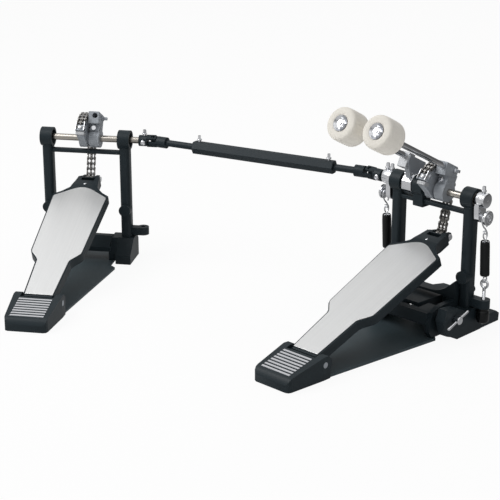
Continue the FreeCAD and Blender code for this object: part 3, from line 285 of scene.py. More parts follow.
def brushed(name, base, heading, slope):
    """Brushed plate: long hairlines along the board, which heads and rises by the given angles."""
    material, graph, spots = new_finish(name)
    level = graph.node(
        "ShaderNodeMapping", {"vector_type": "TEXTURE"},
        {"Vector": spots, "Rotation": (math.radians(slope), 0.0, math.radians(heading))})
    lines = graph.node("ShaderNodeMapping", None, {"Vector": level, "Scale": (1.0, 0.012, 1.0)})
    fine = graph.grain(lines, 2600.0, 5.0, 0.75)
    broad = graph.grain(lines, 420.0, 3.0, 0.6)
    cloud = graph.grain(spots, 18.0, 3.0)
    streak = fine * 0.6 + broad * 0.4
    close_finish(graph, {
        "Base Color": graph.tint(streak, scaled(base, 0.84), scaled(base, 1.10)),
        "Metallic": 0.92,
        "Roughness": 0.32 + streak * 0.14 + cloud * 0.06,
        "Normal": graph.bump(streak, 0.00003),
    })
    return material


def wool_felt(name, base):
    """Pressed wool: soft mottling, short fibres and a nap."""
    material, graph, spots = new_finish(name)
    fibre = graph.grain(spots, 1500.0, 6.0, 0.75)
    tuft = graph.grain(spots, 260.0, 4.0, 0.6)
    cloud = graph.grain(spots, 45.0, 3.0)
    mottle = fibre * 0.45 + tuft * 0.35 + cloud * 0.20
    close_finish(graph, {
        "Base Color": graph.tint(mottle, scaled(base, 0.80), scaled(base, 1.14)),
        "Roughness": 0.96,
        "Sheen Weight": 0.15,
        "Sheen Roughness": 0.5,
        "Normal": graph.bump(mottle, 0.0007),
        "Specular IOR Level": 0.2,
    })
    return material


def moulded(name, base, rough):
    """Moulded black with a fine spark-eroded skin."""
    material, graph, spots = new_finish(name)
    skin = graph.grain(spots, 2200.0, 2.0)
    cloud = graph.grain(spots, 60.0, 3.0)
    close_finish(graph, {
        "Base Color": graph.tint(cloud, scaled(base, 0.85), scaled(base, 1.3)),
        "Roughness": rough + cloud * 0.08 + skin * 0.05,
        "Normal": graph.bump(skin, 0.00003),
        "Specular IOR Level": 0.3,
    })
    return material


def link_steel(name, base):
    """Oiled steel of the chain, darker where the oil gathers."""
    material, graph, spots = new_finish(name)
    oil = graph.ramp(graph.grain(spots, 160.0, 4.0), (0.38, 0.0), (0.62, 1.0))
    fine = graph.grain(spots, 900.0, 3.0)
    close_finish(graph, {
        "Base Color": graph.tint(oil, scaled(base, 0.6), scaled(base, 1.15)),
        "Metallic": 0.9,
        "Roughness": 0.30 + fine * 0.14 - oil * 0.05,
        "Normal": graph.bump(fine, 0.00002),
    })
    return material


FINISHES = {
    "black_casting": (powder_black, "casting", 0.42, 0.17, 1100.0, 0.00004),
    "black_plate": (powder_black, "plate", 0.46, 0.22, 800.0, 0.00006),
    "chrome": (plated, "chrome", 0.07),
    "steel": (plated, "steel", 0.20),
    "cam_alloy": (cast_alloy, "alloy", 0.42),
    "dark_alloy": (cast_alloy, "dark_alloy", 0.38),
    "light_alloy": (cast_alloy, "light_alloy", 0.34),
    "main_inlay": (brushed, "inlay", 0.0, BOARD_SLOPE),
    "slave_inlay": (brushed, "inlay", SLAVE_TURN, BOARD_SLOPE),
    "felt": (wool_felt, "felt"),
    "knob": (moulded, "knob", 0.20),
    "sleeve": (moulded, "knob", 0.46),
    "chain": (link_steel, "chain"),
    "roller": (plated, "roller", 0.20),
    "spring_wire": (plated, "chrome", 0.14),
}


def finish(name):
    """The named material, made at its first use."""
    made = bpy.data.materials.get(MATERIAL + name)
    if made is None:
        maker, tone, *settings = FINISHES[name]
        made = maker(name, colour(tone), *settings)
    return made


# Mesh making
def circle(count):
    return [2 * math.pi * i / count for i in range(count)]


def bands(rings, closed):
    """Faces between each ring of corners and the next; a ring may be a single corner."""
    pairs = list(zip(rings, rings[1:]))
    if closed:
        pairs.append((rings[-1], rings[0]))
    faces = []
    for low, high in pairs:
        steps = max(len(low), len(high))
        for i in range(steps):
            j = (i + 1) % steps
            corners = (low[i % len(low)], low[j % len(low)], high[j % len(high)], high[i % len(high)])
            faces.append(list(dict.fromkeys(corners)))
    return faces


class Shape:
    """A mesh in the making, in millimetres."""

    def __init__(self):
        self.bm = bmesh.new()

    def add(self, points, faces, at):
        made = [self.bm.verts.new(at @ Vector(point)) for point in points]
        for face in faces:
            self.bm.faces.new([made[i] for i in face])

    def revolve(self, outline, at=STILL, steps=48, closed=False):
        """Turns an outline of radii and heights about Z; a closed outline makes a ring."""
        points = []
        rings = []
        for rad, high in outline:
            first = len(points)
            for a in circle(steps) if rad > 0 else [0.0]:
                points.append((rad * math.cos(a), rad * math.sin(a), high))
            rings.append(range(first, len(points)))
        self.add(points, bands(rings, closed), at)

    def prism(self, outline, low, high, at=STILL):
        """A flat outline in X and Y, raised along Z from low to high."""
        count = len(outline)
        points = [(x, y, low) for x, y in outline] + [(x, y, high) for x, y in outline]
        faces = [list(range(count - 1, -1, -1)), list(range(count, 2 * count))]
        for i in range(count):
            j = (i + 1) % count
            faces.append([i, j, count + j, count + i])
        self.add(points, faces, at)

    def block(self, low, high, at=STILL):
        corners = [(low[0], low[1]), (high[0], low[1]), (high[0], high[1]), (low[0], high[1])]
        self.prism(corners, low[2], high[2], at)

    def wire(self, path, rad, at=STILL, steps=12, closed=False):
        """A round wire along a path, its ends domed unless the path closes on itself."""
        count = len(path)
        line = [Vector(point) for point in path]
        side = None
        points = []
        rings = []
        for i in range(count):
            before = line[i - 1] if closed or i > 0 else line[0]
            after = line[(i + 1) % count] if closed or i < count - 1 else line[-1]
            ahead = (after - before).normalized()
            if side is None:
                side = ahead.orthogonal().normalized()
            side = (side - ahead * side.dot(ahead)).normalized()
            up = ahead.cross(side)
            rings.append(range(len(points), len(points) + steps))
            for a in circle(steps):
                points.append(line[i] + (side * math.cos(a) + up * math.sin(a)) * rad)
        faces = bands(rings, closed)
        if not closed:
            for ring, tip, back in ((rings[0], line[0], line[1]), (rings[-1], line[-1], line[-2])):
                points.append(tip + (tip - back).normalized() * rad * 0.6)
                for j in range(steps):
                    faces.append([ring[j], ring[(j + 1) % steps], len(points) - 1])
        self.add(points, faces, at)


def rounded_path(corners, per=6):
    """A smooth run of points through the given ones."""
    line = [Vector(corner) for corner in corners]
    points = []
    for i in range(len(line) - 1):
        a = line[max(0, i - 1)]
        b = line[i]
        c = line[i + 1]
        d = line[min(len(line) - 1, i + 2)]
        for step in range(per):
            t = step / per
            bend = (2 * a - 5 * b + 4 * c - d) * t * t + (3 * b - 3 * c + d - a) * t * t * t
            points.append(0.5 * (2 * b + (c - a) * t + bend))
    return points + [line[-1]]


def link(obj):
    bpy.context.scene.collection.objects.link(obj)
    return obj


CREASE = 34
BROAD_CREASE = 60


def smooth(mesh, angle):
    mesh.shade_smooth()
    mesh.set_sharp_from_angle(angle=math.radians(angle))


def to_mesh(name, bm, at=STILL, angle=CREASE):
    """The bmesh as a plain mesh in metres, closed, facing outwards and smooth up to an angle."""
    bm.transform(MILLI @ at)
    bmesh.ops.remove_doubles(bm, verts=bm.verts, dist=1e-7)
    bmesh.ops.recalc_face_normals(bm, faces=bm.faces)
    mesh = bpy.data.meshes.new(name)
    bm.to_mesh(mesh)
    bm.free()
    smooth(mesh, angle)
    return mesh


def soften(obj, width):
    soft = obj.modifiers.new("Soft edges", "BEVEL")
    soft.width = width
    soft.segments = 2
    soft.limit_method = "ANGLE"
    soft.angle_limit = math.radians(38)
    soft.harden_normals = True


def mount(obj, finish_name, body, nodes=()):
    """Gives a finished piece its material, body, slot and the nodes that it stands for."""
    obj.data.materials.clear()
    obj.data.materials.append(finish(finish_name))
    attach(obj, body)
    if nodes:
        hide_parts(*nodes)
    return obj


def piece(name, shape, finish_name, body, nodes=(), at=STILL, edge=0.0, angle=CREASE):
    obj = link(bpy.data.objects.new(name, to_mesh(name, shape.bm, at, angle)))
    if edge:
        soften(obj, edge * 0.001)
    return mount(obj, finish_name, body, nodes)


def softened(node, finish_name, body, width):
    """A copy of a frame part with its doubles merged and its edges rounded, standing for that part."""
    bm = bmesh.new()
    bm.from_mesh(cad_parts[node].data)
    bmesh.ops.remove_doubles(bm, verts=bm.verts, dist=2e-6)
    bmesh.ops.dissolve_limit(
        bm, angle_limit=math.radians(0.8), use_dissolve_boundaries=False, verts=bm.verts, edges=bm.edges)
    mesh = bpy.data.meshes.new(node + "_soft")
    bm.to_mesh(mesh)
    bm.free()
    smooth(mesh, 30)
    obj = link(bpy.data.objects.new(node + "_soft", mesh))
    if width:
        soften(obj, width)
    return mount(obj, finish_name, body, (node,))


def coat(obj, finish_name, at, chosen):
    """Gives another finish to the faces whose middle, in millimetres from a place, is chosen."""
    obj.data.materials.append(finish(finish_name))
    last = len(obj.data.materials) - 1
    back = (MILLI @ at).inverted()
    for face in obj.data.polygons:
        if chosen(back @ face.center):
            face.material_index = last


def setting_out_tree(name, count):
    """A node tree that puts one of several shapes on each point, turned by the point's own angles."""
    tree = bpy.data.node_groups.new(name, "GeometryNodeTree")
    face = tree.interface
    face.new_socket("Geometry", in_out="OUTPUT", socket_type="NodeSocketGeometry")
    face.new_socket("Geometry", in_out="INPUT", socket_type="NodeSocketGeometry")
    for i in range(count):
        face.new_socket(f"Shape {i}", in_out="INPUT", socket_type="NodeSocketObject")
    size = face.new_socket("Size", in_out="INPUT", socket_type="NodeSocketFloat")
    size.default_value = 1.0
    face.new_socket("Finish", in_out="INPUT", socket_type="NodeSocketMaterial")
    graph = Graph(tree)
    given = tree.nodes.new("NodeGroupInput")

    def entry(label):
        return Value(graph, given, label)

    angles = graph.node("GeometryNodeInputNamedAttribute", {"data_type": "FLOAT_VECTOR"}, {"Name": "turn"})
    kind = graph.node("GeometryNodeInputNamedAttribute", {"data_type": "INT"}, {"Name": "kind"})
    way = graph.node("FunctionNodeEulerToRotation", None, {"Euler": angles})
    joined = graph.tree.nodes.new("GeometryNodeJoinGeometry")
    for i in range(count):
        equal = {"data_type": "INT", "operation": "EQUAL"}
        chosen = graph.node("FunctionNodeCompare", equal, {2: kind, 3: i})
        shape = graph.node("GeometryNodeObjectInfo", None, {"Object": entry(f"Shape {i}")}, output="Geometry")
        row = graph.node("GeometryNodeInstanceOnPoints", None, {
            "Points": entry("Geometry"), "Selection": chosen, "Instance": shape, "Rotation": way,
            "Scale": entry("Size"),
        })
        tree.links.new(row.socket, joined.inputs[0])
    whole = graph.node("GeometryNodeRealizeInstances", None, {"Geometry": Value(graph, joined, 0)})
    dressed = graph.node("GeometryNodeSetMaterial", None, {"Geometry": whole, "Material": entry("Finish")})
    graph.node("NodeGroupOutput", None, {"Geometry": dressed})
    return tree


def set_out(name, spots, shapes, finish_name, body, nodes=(), at=STILL):
    """Makes one piece of many like shapes; a spot is a place, three angles and which shape stands there."""
    base = bpy.data.meshes.new(name + "_spots")
    base.from_pydata([MILLI @ Vector(spot[0]) for spot in spots], [], [])
    base.attributes.new("turn", "FLOAT_VECTOR", "POINT")
    base.attributes.new("kind", "INT", "POINT")
    for i, (_, angles, which) in enumerate(spots):
        base.attributes["turn"].data[i].vector = angles
        base.attributes["kind"].data[i].value = which
    obj = link(bpy.data.objects.new(name, base))
    tree = setting_out_tree(name + "_tree", len(shapes))
    patterns = [link(bpy.data.objects.new(f"{name}_shape_{i}", mesh)) for i, mesh in enumerate(shapes)]
    values = {f"Shape {i}": pattern for i, pattern in enumerate(patterns)}
    values.update({"Size": 1.0, "Finish": finish(finish_name)})
    modifier = obj.modifiers.new("Set out", "NODES")
    modifier.node_group = tree
    for item in tree.interface.items_tree:
        if item.in_out == "INPUT" and item.name in values:
            modifier[item.identifier] = values[item.name]
    graph = bpy.context.evaluated_depsgraph_get()
    mesh = bpy.data.meshes.new_from_object(obj.evaluated_get(graph), depsgraph=graph)
    obj.modifiers.remove(modifier)
    mesh.transform(MILLI @ at @ MILLI.inverted())
    smooth(mesh, CREASE)
    obj.data = mesh
    for pattern in patterns:
        bpy.data.objects.remove(pattern)
    if not mesh.polygons:
        raise RuntimeError("nothing was set out for " + name)
    return mount(obj, finish_name, body, nodes)


# Beaters
FELT_BACK = 150.0
FELT_FACE = 186.5


def felt_head(x):
    """A felt head, slightly barrelled and uneven, with its dished end."""
    back = FELT_BACK
    face = FELT_FACE
    outline = [(4.1, back + 0.2), (10, back), (15.5, back + 0.1), (18.6, back + 0.5), (20.8, back + 1.4)]
    outline += [(22.3, back + 2.9), (22.9, back + 4.8)]
    outline += [(23.0 + 0.12 * math.sin(math.pi * i / 12), back + 5 + 26.3 * i / 12) for i in range(1, 13)]
    outline += [(22.8, face - 3.9), (22.1, face - 2.2), (20.9, face - 1.0), (19.2, face - 0.3), (16, face)]
    outline += [(12.4, face - 0.1), (11.4, face - 0.5), (11.0, face - 1.6), (10.9, face - 3.6)]
    outline += [(9.0, face - 4.1), (4.1, face - 4.2)]
    shape = Shape()
    shape.revolve(outline, STILL, 96, True)
    grow = sizes().felt_radius / 0.023
    for vertex in shape.bm.verts:
        away = Vector((vertex.co.x, vertex.co.y, 0))
        if away.length > 12:
            broad = noise.noise(vertex.co * 0.11 + Vector((x, 0, 0))) * 0.20
            vertex.co += away.normalized() * (broad + noise.noise(vertex.co * 0.6) * 0.09)
            vertex.co.z += noise.noise(vertex.co * 0.35 + Vector((0, x, 0))) * 0.13
        vertex.co.x *= grow
        vertex.co.y *= grow
    return shape


def beater_rod(shape):
    """The rod with its stop washer and nut behind the head, and the dished washer and nut in its end."""
    rad = sizes().rod_radius * 1000
    thin = rad - 0.9
    back = FELT_BACK
    face = FELT_FACE
    shape.revolve([
        (0, -2), (rad - 0.8, -2), (rad, -1.2), (rad, 60), (rad, face - 5.5), (thin, face - 4.9),
        (thin, face + 1.2), (rad - 1.5, face + 1.9), (0, face + 2.0)], STILL, 40)
    shape.revolve([
        (rad, back - 2.0), (8.4, back - 2.0), (9.0, back - 1.5), (9.0, back - 0.5), (8.6, back), (rad, back)],
        STILL, 40, True)
    shape.revolve([
        (thin, face - 4.0), (6.2, face - 3.9), (7.8, face - 3.3), (9.5, face - 1.6), (10.5, face - 0.2),
        (10.9, face + 0.2), (10.9, face - 0.5), (10.2, face - 1.9), (8.4, face - 3.8), (6.4, face - 4.6),
        (thin, face - 4.7)], STILL, 64, True)
    shape.revolve([
        (thin, face + 0.3), (5.0, face + 0.3), (6.0, face - 0.4), (6.0, face - 3.8), (thin, face - 3.8)],
        turn(12, "Z"), 6, True)
    shape.revolve([
        (rad, back - 6.6), (5.8, back - 6.4), (6.6, back - 5.7), (6.6, back - 2.6), (5.9, back - 2.0),
        (rad, back - 2.0)], STILL, 6, True)


class PEDAL_OT_beaters(bpy.types.Operator):
    """Makes both beaters: rods, washers, nuts and felt heads"""

    bl_idname = "pedal.beaters"
    bl_label = "Beaters"

    def execute(self, context):
        for side, x in (("right", 17.0), ("left", -43.0)):
            place = ROCKER @ shift(x, 0, 30.5) @ TO_HEEL
            body = side + "_rocker"
            piece(
                side + "_felt_head", felt_head(x), "felt", body, (side + "_beater_felt",), place,
                angle=BROAD_CREASE)
            rod = Shape()
            beater_rod(rod)
            piece(side + "_rod_and_nuts", rod, "chrome", body, (side + "_beater_rod",), place)
        return {"FINISHED"}


# Chains
PITCH = 8.0
CHAIN_RAD = 36.0
RUN_LINKS = 8
WRAP_LINKS = 12


def chain_pins():
    """The chain's pins in a pedal's Y and Z, from the toe bolt up the run and over the cam."""
    toe = Vector((18.717, 118.998))
    touch = math.radians(-14.591)
    step = 2 * math.asin(PITCH / (2 * CHAIN_RAD))
    wrap = []
    for i in range(WRAP_LINKS + 1):
        a = touch + step * i
        wrap.append(Vector((CHAIN_RAD * math.cos(a), AXLE_Z + CHAIN_RAD * math.sin(a))))
    return [toe.lerp(wrap[0], i / RUN_LINKS) for i in range(RUN_LINKS)] + wrap


def waisted(half):
    """A link plate's outline along X, round at both pins and drawn in between."""
    line = []
    for pin, first, waist in ((PITCH, -125, half * 0.66), (0.0, 55, -half * 0.66)):
        for i in range(11):
            a = math.radians(first + 25 * i)
            line.append((pin + half * math.cos(a), half * math.sin(a)))
        line.append((PITCH / 2, waist))
    return line


def link_mesh(name, kind):
    """Plates of one link along Y from a pin: inner, outer with its pins, or the end link with its eye."""
    shape = Shape()
    plate = waisted(3.3)
    if kind == "outer":
        for x in (-6.4, -0.4, 5.6):
            shape.prism(plate, x, x + 0.8, UPRIGHT)
        for y in (0, PITCH):
            shape.revolve([
                (0, -6.9), (0.9, -6.8), (1.4, -6.4), (1.1, -6.3), (1.1, 6.3), (1.4, 6.4), (0.9, 6.8),
                (0, 6.9)], shift(0, y, 0) @ TO_X, 12)
    else:
        for x in (0.8, 4.5, -5.2, -1.5):
            shape.prism(plate, x, x + 0.7, UPRIGHT)
        if kind == "end":
            for low in (0.8, -5.2):
                shape.revolve(
                    [(4.1, low), (5.4, low), (5.4, low + 4.4), (4.1, low + 4.4)],
                    shift(0, 0, 1.6) @ TO_X, 24, True)
    return to_mesh(name, shape.bm)


def roller_mesh(name, pins):
    """The rollers of an inner link, on the given pins."""
    shape = Shape()
    for low in (1.5, -4.5):
        for y in pins:
            high = low + 3.0
            shape.revolve([
                (1.15, low), (1.5, low), (1.65, low + 0.3), (1.65, high - 0.3), (1.5, high), (1.15, high)],
                shift(0, y, 0) @ TO_X, 16, True)
    return to_mesh(name, shape.bm)


class PEDAL_OT_chains(bpy.types.Operator):
    """Sets out the links of both chains from the toe bolts over the cams"""

    bl_idname = "pedal.chains"
    bl_label = "Chains"

    def execute(self, context):
        pins = chain_pins()
        for pedal, rocker in ROCKERS.items():
            runs = (
                ("wrap", 13, 19, rocker), ("upper", 11, 12, pedal + "_upper_links"),
                ("lower", 8, 10, pedal + "_lower_links"), ("strand", 0, 7, pedal + "_strand"))
            for part, first, last, body in runs:
                plates = []
                rollers = []
                for i in range(first, last + 1):
                    along = pins[i + 1] - pins[i]
                    angles = (math.atan2(along.y, along.x), 0, 0)
                    at = (CHAIN_X, pins[i].x, pins[i].y)
                    plates.append((at, angles, 2 if i == 0 else i % 2))
                    if i % 2 == 0:
                        rollers.append((at, angles, 1 if i == 0 else 0))
                name = f"{pedal}_links_{part}"
                shapes = [link_mesh(f"{name}_{kind}", kind) for kind in ("inner", "outer", "end")]
                place = PEDALS[pedal]
                set_out(name, plates, shapes, "chain", body, (f"{pedal}_chain_{part}",), place)
                name = f"{pedal}_rollers_{part}"
                shapes = [roller_mesh(name + "_pair", (0, PITCH)), roller_mesh(name + "_end", (PITCH,))]
                set_out(name, rollers, shapes, "roller", body, (), place)
        return {"FINISHED"}


# Footboards and heel plates, whose slope and first strip are measured from the hinge
HEEL_TOP = 32.0
HEEL_SLOPE = 12.73
SLOPE_FROM = 2.0
FIRST_STRIP = 14.9


def board_line():
    """The inlay's edge, heel first, with its arched end."""
    half = [
        (20.4, 4), (23.5, 78), (24.3, 81.2), (26.0, 84.0), (30.55, 89.5), (35.0, 95.2), (36.9, 98.3),
        (37.6, 102), (41.2, 228), (41.2, 231.5), (40.4, 233.7), (32, 239.6), (23, 245.9), (17.6, 249.7),
        (13.5, 252.3), (9.5, 254.3), (5.5, 255.7), (1.8, 256.4)]
    return half + [(-x, u) for x, u in reversed(half)]


class PEDAL_OT_boards(bpy.types.Operator):
    """Lays the brushed inlays on the footboards and the grip strips on the heel plates"""

    bl_idname = "pedal.boards"
    bl_label = "Inlays and grip strips"

    def execute(self, context):
        for pedal, place in PEDALS.items():
            plate = Shape()
            plate.prism(board_line(), 9.0, 10.3)
            piece(
                pedal + "_inlay_plate", plate, pedal + "_inlay", pedal + "_treadle",
                (pedal + "_footboard_inlay",), place @ BOARD, edge=0.45)
            strip = Shape()
            outline = [
                (-23.7, -1.6), (23.7, -1.6), (24.2, -1.1), (24.2, 1.1), (23.7, 1.6), (-23.7, 1.6),
                (-24.2, 1.1), (-24.2, -1.1)]
            strip.prism(outline, -0.3, 0.5)
            strip.prism([(x * 0.99, y * 0.8) for x, y in outline], 0.5, 0.9)
            slope = math.radians(HEEL_SLOPE)
            spots = []
            for i in range(sizes().strip_count):
                along = FIRST_STRIP + sizes().strip_step * 1000 * i
                rise = HEEL_TOP - (along - SLOPE_FROM) * math.tan(slope)
                spots.append(((0, HINGE_Y - along, rise), (slope, 0, 0), 0))
            set_out(
                pedal + "_grip_strips", spots, [to_mesh(pedal + "_strip", strip.bm)], "chrome",
                pedal + "_stand", (pedal + "_heel_strips",), place)
        return {"FINISHED"}


# Springs
COIL_FOOT = 9.0
COIL_RISE = 2.6
COIL_RAD = 4.4
COIL_TURNS = 18
TURN_STEPS = 20
DRAWN_FROM = 47.0


def coil_path():
    """One spring's lower hook and coil, up its own Z from the eye's bar."""
    corners = []
    for degree in range(-250, 61, 15):
        a = math.radians(degree)
        corners.append((0, 4.2 * math.cos(a), 1.2 + 4.2 * math.sin(a)))
    corners += [(0, 1.5, 6.8), (1.6, 3.0, 7.7)]
    path = rounded_path(corners, 2)[:-1]
    for i in range(COIL_TURNS * TURN_STEPS + 1):
        a = 0.9 + 2 * math.pi * i / TURN_STEPS
        rise = COIL_FOOT + COIL_RISE * i / TURN_STEPS
        path.append(Vector((COIL_RAD * math.sin(a), COIL_RAD * math.cos(a), rise)))
    return path


def eye_path():
    """The upper end of one spring's wire: its shank inside the coil and the eye above the sleeve."""
    corners = [
        (0, 0, 41.8), (0, 0, 52), (0, 0, 57.5), (0, 1.6, 60.4), (0, 3.8, 63.6), (0, 4.2, 67.0),
        (0, 2.8, 70.4), (0, 0, 71.8), (0, -2.8, 70.4), (0, -4.2, 67.0), (0, -3.8, 63.8), (0, -2.0, 61.2)]
    return rounded_path(corners, 5)


def hook_path():
    """One spring's upper hook: it holds the eye, bends aside and loops over the lever's pin."""
    corners = [
        (-2.4, 0, 71.4), (-2.1, 0, 68.9), (0, 0, 67.6), (2.1, 0, 68.9), (2.4, -0.4, 71.6), (1.4, -1.8, 75.4),
        (0.2, -4.0, 79.0), (0, -5.8, 82.8)]
    for degree in range(-10, 191, 20):
        a = math.radians(degree)
        corners.append((0, -7.2 * math.cos(a), 88.1 + 7.2 * math.sin(a)))
    corners += [(0, 5.4, 81.9), (0, 3.0, 77.1)]
    return rounded_path(corners, 5)


def sleeve_shape():
    """The shrunk sleeve, drawn down on the coil so that its turns just show, and drawn in at its top."""
    shape = Shape()
    steps = 48
    rows = 150
    low = 7.6
    high = 57.4
    points = []
    for row in range(rows + 1):
        z = low + (high - low) * row / rows
        lip = min(1.0, (z - low) / 1.6, (high - z) / 1.6)
        drawn = max(0.0, (z - DRAWN_FROM) / (high - DRAWN_FROM)) ** 2
        for a in circle(steps):
            rib = 0.5 + 0.5 * math.cos(a + 2 * math.pi * (z - COIL_FOOT) / COIL_RISE)
            rad = 6.1 + (0.16 * rib + 0.36) * lip - 0.5 * drawn
            points.append((rad * math.sin(a), rad * math.cos(a), z))
    for z in (high, low):
        for a in circle(steps):
            points.append((5.5 * math.sin(a), 5.5 * math.cos(a), z))
    rings = [range(first, first + steps) for first in range(0, len(points), steps)]
    shape.add(points, bands(rings, True), STILL)
    return shape


def eyebolt(shape, at):
    """A threaded stud that ends in a ring."""
    step = sizes().thread_step * 1000
    outline = [(0, 14.0), (1.7, 14.0)]
    high = 14.6
    while high < 62:
        outline += [(2.4, high), (2.0, high + step / 2)]
        high += step
    outline += [(2.3, 62.6), (2.3, 67.2), (0, 67.2)]
    shape.revolve(outline, at, 20)
    ring = [(5.2 * math.cos(a), 0, 72 + 5.2 * math.sin(a)) for a in circle(48)]
    shape.wire(ring, 1.7, at, 14, True)


def spring_knob(shape, at):
    """A smooth moulded knob with rounded shoulders and a shallow waist under its flange."""
    wide = sizes().knob_radius * 1000
    outline = [
        (0, 16.0), (0.50, 16.0), (0.72, 16.5), (0.88, 17.6), (0.96, 19.2), (0.99, 21.5), (1.0, 25),
        (0.99, 29), (0.96, 31.6), (0.90, 33.2), (0.84, 34.0), (0.84, 35.2), (0.90, 35.8), (0.92, 36.6),
        (0.90, 37.6), (0.84, 38.0), (0, 38.0)]
    shape.revolve([(share * wide, z) for share, z in outline], at, 56)


class PEDAL_OT_springs(bpy.types.Operator):
    """Makes both springs with hooks and sleeves, and the eyebolts and knobs that tension them"""

    bl_idname = "pedal.springs"
    bl_label = "Springs"

    def execute(self, context):
        bolts = Shape()
        knobs = Shape()
        for side, x in (("right", SPRING_X), ("left", -SPRING_X)):
            place = shift(x, SPRING_Y, SPRING_FOOT) @ SPRING_TILT
            coil = Shape()
            coil.wire(coil_path(), 1.0, STILL, 10)
            piece(
                side + "_spring_coil", coil, "spring_wire", side + "_spring_unit",
                (side + "_spring",), place, angle=BROAD_CREASE)
            hook = Shape()
            hook.wire(eye_path(), 1.0, STILL, 12)
            hook.wire(hook_path(), 1.05, STILL, 12)
            piece(
                side + "_spring_loop", hook, "spring_wire", side + "_spring_top",
                (side + "_spring_hook",), place, angle=BROAD_CREASE)
            piece(
                side + "_sleeve", sleeve_shape(), "sleeve", side + "_spring_unit",
                (side + "_spring_sleeve",), place, angle=BROAD_CREASE)
            eyebolt(bolts, shift(x, SPRING_Y, 0))
            spring_knob(knobs, shift(x, SPRING_Y, 0))
        piece("eyebolts", bolts, "chrome", "main_stand", ("spring_eyebolts",))
        piece("spring_knobs", knobs, "knob", "main_stand", ("tension_knobs",))
        return {"FINISHED"}


# Levers and bolts
def key_bolt_mesh(name):
    """A square-headed key bolt standing along Z on its seat."""
    shape = Shape()
    shape.revolve(
        [(0, 0), (2.2, 0), (2.2, 2.4), (3.3, 2.5), (3.6, 2.8), (3.6, 4.2), (3.2, 4.6), (0, 4.6)], STILL, 24)
    shape.prism([(-2, -2), (2, -2), (2, 2), (-2, 2)], 4.4, 9.4)
    shape.prism([(-1.6, -1.6), (1.6, -1.6), (1.6, 1.6), (-1.6, 1.6)], 9.4, 10.0)
    return to_mesh(name, shape.bm)


def screw_head_mesh(name, rad):
    """A domed screw head with a six-sided recess, facing Z."""
    shape = Shape()
    shape.revolve([
        (0, -0.3 * rad), (0.96 * rad, -0.3 * rad), (rad, 0.1 * rad), (0.94 * rad, 0.36 * rad),
        (0.74 * rad, 0.54 * rad), (0.44 * rad, 0.62 * rad), (0.40 * rad, 0.30 * rad), (0, 0.26 * rad)],
        STILL, 24)
    return to_mesh(name, shape.bm)


def lever_shape(sign):
    """A spring lever: a round cap on the axle end, a tapered arm, and the pin with its ringed roller."""
    shape = Shape()
    shape.revolve([
        (0, 87.0), (1.1, 87.0), (1.3, 87.4), (9.2, 87.4), (10.0, 86.9), (10.4, 86.0), (10.4, 73.0),
        (9.9, 71.9), (9.2, 71.5), (0, 71.5)], shift(0, 0, LEVER_Z) @ TO_X, 64)
    arm = [(9.5, LEVER_Z), (-9.5, LEVER_Z)]
    for degree in range(184, 357, 12):
        a = math.radians(degree)
        arm.append((8 * math.cos(a), ROLLER_Z + 8 * math.sin(a)))
    shape.prism(arm, 71.9, 79.5, UPRIGHT)
    shape.revolve([
        (0, 92.2), (1.5, 92.2), (2.0, 91.8), (2.0, 91.2), (3.6, 91.2), (3.6, 91.9), (4.2, 92.2), (5.6, 92.2),
        (6.0, 91.8), (6.2, 90.4), (7.4, 90.4), (7.7, 91.2), (9.6, 91.2), (10.3, 90.5), (10.3, 88.0),
        (9.6, 87.2), (3.0, 87.2), (3.0, 80.0), (5.2, 79.9), (5.2, 79.0), (0, 79.0)],
        shift(0, 0, ROLLER_Z) @ TO_X, 48)
    if sign < 0:
        bmesh.ops.scale(shape.bm, verts=shape.bm.verts, vec=(-1, 1, 1))
    return shape


class PEDAL_OT_levers(bpy.types.Operator):
    """Makes the spring levers and every square-headed key bolt"""

    bl_idname = "pedal.levers"
    bl_label = "Levers and key bolts"

    def execute(self, context):
        for side, sign, bolts in (("right", 1, (80.5,)), ("left", -1, (-75.5, -83.5))):
            body = side + "_rocker"
            piece(
                side + "_lever", lever_shape(sign), "chrome", body, (side + "_spring_lever",),
                edge=0.5)
            spots = [((x, 0, 200.8), (0, 0, 0.3), 0) for x in bolts]
            set_out(side + "_lever_bolts", spots, [key_bolt_mesh(side + "_bolt")], "chrome", body)
        spots = [((x, 0, 9), (0, 0, 0.5), 0) for x in (-66, -280)]
        set_out(
            "tube_key_bolts", spots, [key_bolt_mesh("tube_bolt")], "chrome", "drive_shaft",
            ("drive_tube_bolts",), DRIVE)
        spots = [((92.5, 0, 197.5), (0, 0, 0.6), 0)]
        set_out(
            "slave_yoke_key_bolt", spots, [key_bolt_mesh("slave_yoke_key")], "chrome", "slave_rocker",
            (), PEDALS["slave"])
        for side, pedal, x in (("left", "main", -97), ("slave", "slave", 91.3)):
            spots = [((x, -7.8, 188.5), (math.pi / 2, 0, 0), 0)]
            head = screw_head_mesh(side + "_yoke_head", 4.0)
            body = side + "_rocker"
            set_out(side + "_yoke_bolt", spots, [head], "chrome", body, (), PEDALS[pedal])
        return {"FINISHED"}


